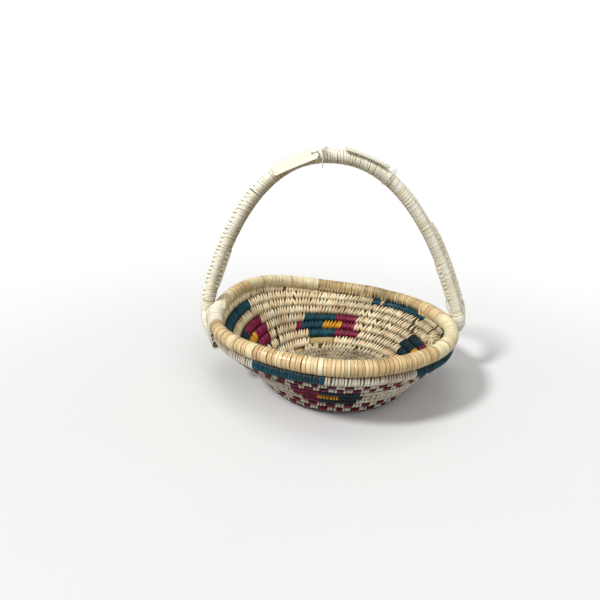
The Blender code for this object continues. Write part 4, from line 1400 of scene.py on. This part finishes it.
def tooth(run):
    """One pointed end's path from the top turn onto the rim, and its way out."""
    here, first, second, thick = COIL.look(np.array(run))
    nearest = int(np.linalg.norm(RIM.places - here, axis=1).argmin())
    middle = RIM.places[nearest] - here
    aside, above = -float(middle @ first), float(middle @ second)
    down = math.atan2(-above, -aside)
    gap = max(float(np.hypot(aside, above)) - RIM_RADIUS - float(thick), 0.0) + TOOTH_OVERLAP
    stops = [(TOOTH_FOOT_REACH * thick * math.cos(TOOTH_FOOT_TURN),
              TOOTH_FOOT_REACH * thick * math.sin(TOOTH_FOOT_TURN))]
    *lower, tip = TOOTH_ANGLES
    tip = tip + draw.uniform(-TOOTH_SPREAD, TOOTH_SPREAD)
    for angle in np.radians(np.array((*lower, tip))):
        reach = RIM_RADIUS + TOOTH_LIFT + gap * max(math.cos(angle - down), 0.0) ** 3
        stops.append((aside + reach * math.cos(angle), above + reach * math.sin(angle)))
    slant = draw.normal(*TOOTH_SLANT) * MM
    path = [COIL.look(np.array(run + slant * k / 4))[0] - first * inward + second * up
            for k, (inward, up) in enumerate(stops)]
    return path, -first - second


def rim_teeth():
    """Pointed ends of the top turn's stitches, drawn up over the rim's inner underside."""
    teeth = []
    dyes = []
    run = float(np.interp(COIL_TURNS - 1.0, COIL.turns, COIL.run)) + TOOTH_START
    while run < COIL.length - TOOTH_STOP:
        back = COIL_TURNS - float(np.interp(run, COIL.run, COIL.turns))
        teeth.append(tooth(run))
        dyes.append(stitch_dye(back))
        run += spacing_at(back) * draw.uniform(*TOOTH_SPACING)
    strand_piece("rim_teeth", teeth, TOOTH_HALF_WIDTH, TOOTH_CROWN, POINTED, STITCH_FINISHES,
                 "coil", dyes)


rim_teeth()


# Loose strands: first and last angle, and how many turns under the top each starts and ends
LOOSE = ((-7.0, 1.0, 2.3, 0.7), (-4.0, 5.0, 2.4, 0.8), (-1.0, 7.5, 2.2, 0.6),
         (2.0, -6.0, 2.4, 0.9), (5.0, -3.0, 2.4, 0.7), (8.0, 2.0, 2.3, 0.8),
         (-8.0, 7.0, 1.8, 1.2), (9.5, -1.0, 2.6, 1.1), (-3.0, 3.5, 1.7, 0.5),
         (11.0, 3.0, 2.2, 0.9))
# Millimetres: how far each point stands off, and the least and greatest half width and crown
LOOSE_BOW = (0.8, 1.9, 2.3, 1.9, 0.8)
LOOSE_HALF_WIDTH = (0.6, 1.0)
LOOSE_CROWN = (0.3, 0.45)


def loose_strands():
    """Thin strips that cross the bare place at the right of the inside."""
    strands = []
    share = np.linspace(0.0, 1.0, STRAND_POINTS)
    bow = COIL_RADIUS + np.array(LOOSE_BOW) * MM
    for low, high, turn_low, turn_high in LOOSE:
        angle = np.radians(low + (high - low) * share)
        under = turn_low + (turn_high - turn_low) * share
        turn = COIL_TURNS - under - (360.0 - END_DEGREES) / 360.0
        reach = inner_edge(turn) + COIL_RADIUS
        path = bowl(angle, reach, -bow)
        strands.append((path, path[2] - bowl(angle[2], reach[2])))
    strand_piece("loose_strands", strands, LOOSE_HALF_WIDTH, LOOSE_CROWN, BLUNT, STITCH_FINISHES,
                 "coil", NATURAL)


loose_strands()


# Degrees along the rim and round it, from the leaf's point to its root
LEAF_ALONG = (166.0, 171.0, 176.0, 181.0, 186.0)
LEAF_ROUND = (-72.0, -92.0, -112.0, -132.0, -150.0)
LEAF_LIFT = 0.6 * MM
# Millimetres
LEAF_HALF_WIDTH = 2.4
LEAF_CROWN = 0.4


def foot_leaf():
    """A pointed end of a binding strip, lying over the rim beside the left foot."""
    runs = np.interp(np.radians(LEAF_ALONG), RIM.angle, RIM.run)
    place, first, second, _ = RIM.look(runs)
    turn = np.radians(LEAF_ROUND)[:, None]
    way_out = first * np.cos(turn) + second * np.sin(turn)
    path = (place + way_out * (BINDING_RADIUS + LEAF_LIFT))[::-1]
    strand_piece("binding_leaf_left", [(path, way_out[2])], LEAF_HALF_WIDTH, LEAF_CROWN, POINTED,
                 (RIM_PALE,), "pale_wrap")


foot_leaf()


# Hitches along the handle's arms: a cord beside the wrapping, held by wide leaves with gaps

LACING_TURN = 0.2
LACING_EASE = 9 * MM
RIDGE_STEP = 0.8 * MM
HITCH_SPACING = 5.2 * MM
CORD_GAP = 0.2 * MM
CORD_STRIPS = (3.0 * MM, 0.6 * MM, 2.0 * MM)
# Millimetres: least and greatest lean, half width and crown of a hitch
HITCH_LEAN = (0.8, 1.8)
HITCH_HALF_WIDTH = (1.7, 2.5)
HITCH_CROWN = (0.22, 0.32)


def lacing_way(first, second, side):
    """The way out of an arm to its lacing."""
    return side * first * math.cos(LACING_TURN) + second * math.sin(LACING_TURN)


def ridge_line(start, end, side, high):
    """The cord's line along an arm, pulled down to the wrapping at both ends."""
    runs = np.arange(arch_run(start), arch_run(end), RIDGE_STEP)
    place, first, second, radius = HANDLE.look(runs)
    ends = np.clip(np.minimum(runs - runs[0], runs[-1] - runs) / LACING_EASE, 0.0, 1.0)
    stand = radius + (-0.7 + 1.5 * high * ends) * MM
    out = lacing_way(first, second, side)
    return Line(place + out * stand[:, None], out, 1.1 * MM + 0.4 * MM * ends)


def hitch(run, side, near_end, high):
    """One wide leaf over the cord: its path, and its way out."""
    place, first, second, radius = HANDLE.look(np.array(run))
    way = np.cross(first, second)
    out = lacing_way(first, second, side)
    aside = np.cross(way, out)
    tall = (0.9 + (3.2 * high - 1.55) * min(near_end, 1.0) + draw.uniform(-0.2, 0.25)) * MM
    lean = draw.uniform(*HITCH_LEAN) * MM
    leaf = []
    for turn, lift, along in ((-0.72, 0.15 * MM, -lean), (-0.26, 0.72 * tall, -0.4 * lean),
                              (0.0, tall, 0.0),
                              (0.26, 0.72 * tall, 0.4 * lean), (0.72, 0.15 * MM, lean)):
        way_out = out * math.cos(turn) + aside * math.sin(turn)
        leaf.append(place + way_out * (radius + lift) + way * along)
    return leaf, out


def hitch_row(name, start, end, side, high, node):
    """A cord along an arm from one arch place to another, and the leaves that hold it."""
    ridge = ridge_line(start, end, side, high)
    # the cord carries a little painted shade all along
    wind(name + "_cord", ridge, CORD_GAP, ridge.length - CORD_GAP, CORD_STRIPS, HANDLE_SLANT, 1.0,
         0.6, (HANDLE_PALM,), "pale_wrap", node, painted_shade=np.full(len(ROUND_CORE), 0.1))
    first_run, last_run = arch_run(start), arch_run(end)
    count = int((last_run - first_run) / HITCH_SPACING)
    step = (last_run - first_run) / count
    hitches = []
    for run in first_run + (np.arange(count) + 0.5) * step + draw.normal(0, 0.5, count) * MM:
        near_end = min(run - first_run, last_run - run) / LACING_EASE
        hitches.append(hitch(run, side, near_end, high))
    strand_piece(name, hitches, HITCH_HALF_WIDTH, HITCH_CROWN, BLUNT, (HANDLE_PALM,), "pale_wrap")


hitch_row("hitches_outer_left", -0.97, -0.40, 1.0, 1.0, "handle_lacing_outer_left")
hitch_row("hitches_outer_right", 0.56, 0.92, 1.0, 1.0, "handle_lacing_outer_right")
hitch_row("hitches_inner_left", -0.90, -0.72, -1.0, 0.7, "handle_lacing_inner_left")
hitch_row("hitches_inner_right", 0.72, 0.90, -1.0, 0.7, "handle_lacing_inner_right")


# Side, first and last arch place, and how far each cord bows out in millimetres
FOOT_CORDS = ((1.0, 0.895, 0.985, 2.7), (-1.0, 0.885, 0.975, 2.4), (1.0, 0.915, 0.995, 1.6))
TIE_STRIPS = (1.7 * MM, 0.2 * MM, 1.3 * MM)
TIE_HALF_RUN = 2.5 * MM
# Millimetres
FOOT_CORD_HALF_WIDTH = 1.05
FOOT_CORD_CROWN = 0.8


def foot_cords():
    """The cords that stand on both sides of the right foot, tied down by rings at the foot."""
    cords = []
    for side, start, end, bow in FOOT_CORDS:
        runs = np.linspace(arch_run(start), arch_run(end), STRAND_POINTS)
        place, first, _, radius = HANDLE.look(runs)
        stand = radius + np.array((0.4, 0.8 * bow, bow, 0.8 * bow, 0.4)) * MM
        cords.append((place + side * first * stand[:, None], side * first[2]))
    strand_piece("foot_cords_right", cords, FOOT_CORD_HALF_WIDTH, FOOT_CORD_CROWN, BLUNT,
                 (HANDLE_PALM,), "pale_wrap")
    foot = arch_run(0.99)
    wind("foot_ties_right", HANDLE, foot - TIE_HALF_RUN, foot + TIE_HALF_RUN, TIE_STRIPS,
         1.2 * MM, 1.11, 0.7, (HANDLE_PALM,), "pale_wrap", painted_shade=np.zeros(len(ROUND_CORE)))


foot_cords()


# Loops of loose string at the tags' knots

STRING_SCALE = 0.45


def string_loops(name, knot, loops):
    """Lobed loops at a knot: the two ways that each loop lies along, and its length in mm."""
    turn = ROUND_CORE[None, :, None]
    reach = np.hypot(RING.places[:, 0], RING.places[:, 1]) - RING_MAJOR
    reach = reach[None, :, None] * STRING_SCALE * MM
    high = RING.places[None, :, 2, None] * STRING_SCALE * MM
    along, aside = (np.array([loop[k] for loop in loops], float)[:, None] for k in range(2))
    aside = unit(aside - along * np.sum(unit(along) * aside, -1, keepdims=True))
    along = unit(along)
    size = np.array([loop[2] for loop in loops])[:, None, None] * MM
    middle = (np.array(knot) + along * size * 0.5 * (1 + np.cos(turn))
              + aside * size * 0.3 * np.sin(turn) * (1.2 + np.cos(turn)))
    radial = along * np.cos(turn) + aside * np.sin(turn)
    places = middle + radial * reach + np.cross(along, aside) * high
    n = len(loops)
    item = stamp(name, RING, places, np.full(n, 0.5), np.zeros(n), (STRING,))
    place_piece(item, "string")


string_loops("string_loops_left", (-0.0252, 0.0120, 0.2676), (
    ((0.5, -0.5, 0.8), (0.3, 0.4, 0.0), 4.6), ((0.9, -0.3, 0.2), (0.0, 0.5, 0.8), 5.4),
    ((0.1, -0.9, 0.1), (0.8, 0.0, 0.3), 4.2), ((0.8, 0.4, 0.5), (0.1, 0.8, -0.4), 4.6)))
string_loops("string_loops_right", (0.0526, 0.0248, 0.2480), (
    ((0.7, -0.4, 0.1), (0.2, 0.5, 0.6), 3.6), ((0.5, -0.5, -0.6), (0.7, 0.2, 0.0), 4.0)))


# Nodes that keep their solid shape and get their finish

KEPT = {"rim_core": CORE, "handle_core": CORE, "base_start_knot": STRAP,
        "tag_left": CARD, "tag_right": CARD, "tag_left_loop": STRING, "tag_right_loop": STRING,
        "tag_left_string": STRING, "tag_right_string": STRING}
for name, made in KEPT.items():
    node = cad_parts[name]
    node.data.materials.clear()
    node.data.materials.append(made)


# Floor, light and camera

WHITE = (1.0, 1.0, 1.0, 1.0)
FLOOR_SIZE = 60.0
FLOOR_HEIGHT = -0.2 * MM
FLOOR_FADE = (0.22, 0.75)


def stage():
    """A pale floor that carries the shadow and turns plain white away from the basket."""
    bpy.ops.mesh.primitive_plane_add(size=1.0, location=(0.0, 0.0, 0.0))
    floor = bpy.context.object
    floor.name = "floor"
    floor.data.transform(Matrix.Diagonal((FLOOR_SIZE, FLOOR_SIZE, 1.0, 1.0)))
    floor.data.transform(Matrix.Translation((0.0, 0.0, FLOOR_HEIGHT)))
    finish = Finish("pale_floor", 0.9)
    place = finish.object_place()
    cloudy = finish.noise(place, 2.0, 2.0)
    length = finish.node("ShaderNodeVectorMath", {"operation": "LENGTH"}, {0: place})
    away = Value(finish, length.outputs["Value"])
    rays = finish.node("ShaderNodeLightPath", {}, {})
    seen = Value(finish, rays.outputs["Is Camera Ray"])
    pale = finish.mix(cloudy.over(0.3, 0.7), (0.80, 0.80, 0.795, 1.0), (0.82, 0.82, 0.815, 1.0))
    finish.colour(finish.mix(seen, (0.40, 0.40, 0.395, 1.0), pale))
    white = finish.node("ShaderNodeEmission", {}, {"Color": WHITE, "Strength": 1.0})
    mixed = finish.node("ShaderNodeMixShader", {}, {0: away.over(*FLOOR_FADE) * seen,
                                                   1: finish.shader.outputs[0],
                                                   2: white.outputs[0]})
    finish.tree.links.new(mixed.outputs[0], finish.tree.nodes["Material Output"].inputs[0])
    floor.data.materials.append(finish.made)


def world_light(strength):
    """A soft even sky, and plain white behind the object."""
    world = bpy.data.worlds.new("studio")
    bpy.context.scene.world = world
    world.use_nodes = True
    tree = world.node_tree
    soft = tree.nodes["Background"]
    soft.inputs["Color"].default_value = (1.0, 0.985, 0.96, 1.0)
    soft.inputs["Strength"].default_value = strength
    white = add_node(tree, "ShaderNodeBackground", {}, {"Color": WHITE})
    rays = add_node(tree, "ShaderNodeLightPath", {}, {})
    seen = add_node(tree, "ShaderNodeMath", {"operation": "MAXIMUM"},
                    {0: rays.outputs["Is Camera Ray"], 1: rays.outputs["Is Transmission Ray"]})
    choose = add_node(tree, "ShaderNodeMixShader", {},
                      {0: seen.outputs[0], 1: soft.outputs[0], 2: white.outputs[0]})
    tree.links.new(choose.outputs[0], tree.nodes["World Output"].inputs[0])


def sun(name, place, strength, softness):
    """A distant soft lamp that shines from a place towards the middle."""
    light = bpy.data.lights.new(name, "SUN")
    light.energy = strength
    light.angle = math.radians(softness)
    item = bpy.data.objects.new(name, light)
    item.rotation_euler = (-Vector(place)).to_track_quat("-Z", "Y").to_euler()
    bpy.context.scene.collection.objects.link(item)


CAMERA_TURNS = (18.42, -5.24, 1.44)
CAMERA_PLACE = (0.0, -0.5002, 0.2672)


def camera():
    """A camera in front that looks a little down, turned by its pitch, yaw and roll."""
    pitch, yaw, roll = (math.radians(a) for a in CAMERA_TURNS)
    forward = Vector((math.sin(yaw) * math.cos(pitch), math.cos(yaw) * math.cos(pitch),
                      -math.sin(pitch)))
    level = Vector((math.cos(yaw), -math.sin(yaw), 0.0))
    upright = level.cross(forward)
    right = level * math.cos(roll) + upright * math.sin(roll)
    up = upright * math.cos(roll) - level * math.sin(roll)
    data = bpy.data.cameras.new("camera")
    data.lens = 27.0
    data.sensor_width = 36.0
    data.clip_start = 0.01
    item = bpy.data.objects.new("camera", data)
    rows = [(right[k], up[k], -forward[k], CAMERA_PLACE[k]) for k in range(3)]
    item.matrix_world = Matrix((*rows, (0.0, 0.0, 0.0, 1.0)))
    bpy.context.scene.collection.objects.link(item)
    bpy.context.scene.camera = item


stage()
world_light(0.34)
sun("key_light", (-0.66, -0.56, 0.88), 2.2, 9.0)
sun("top_light", (-0.10, -0.05, 1.0), 0.45, 30.0)
sun("fill_light", (0.5, -0.66, 0.8), 0.62, 40.0)
camera()
bpy.context.scene.view_settings.view_transform = "Standard"
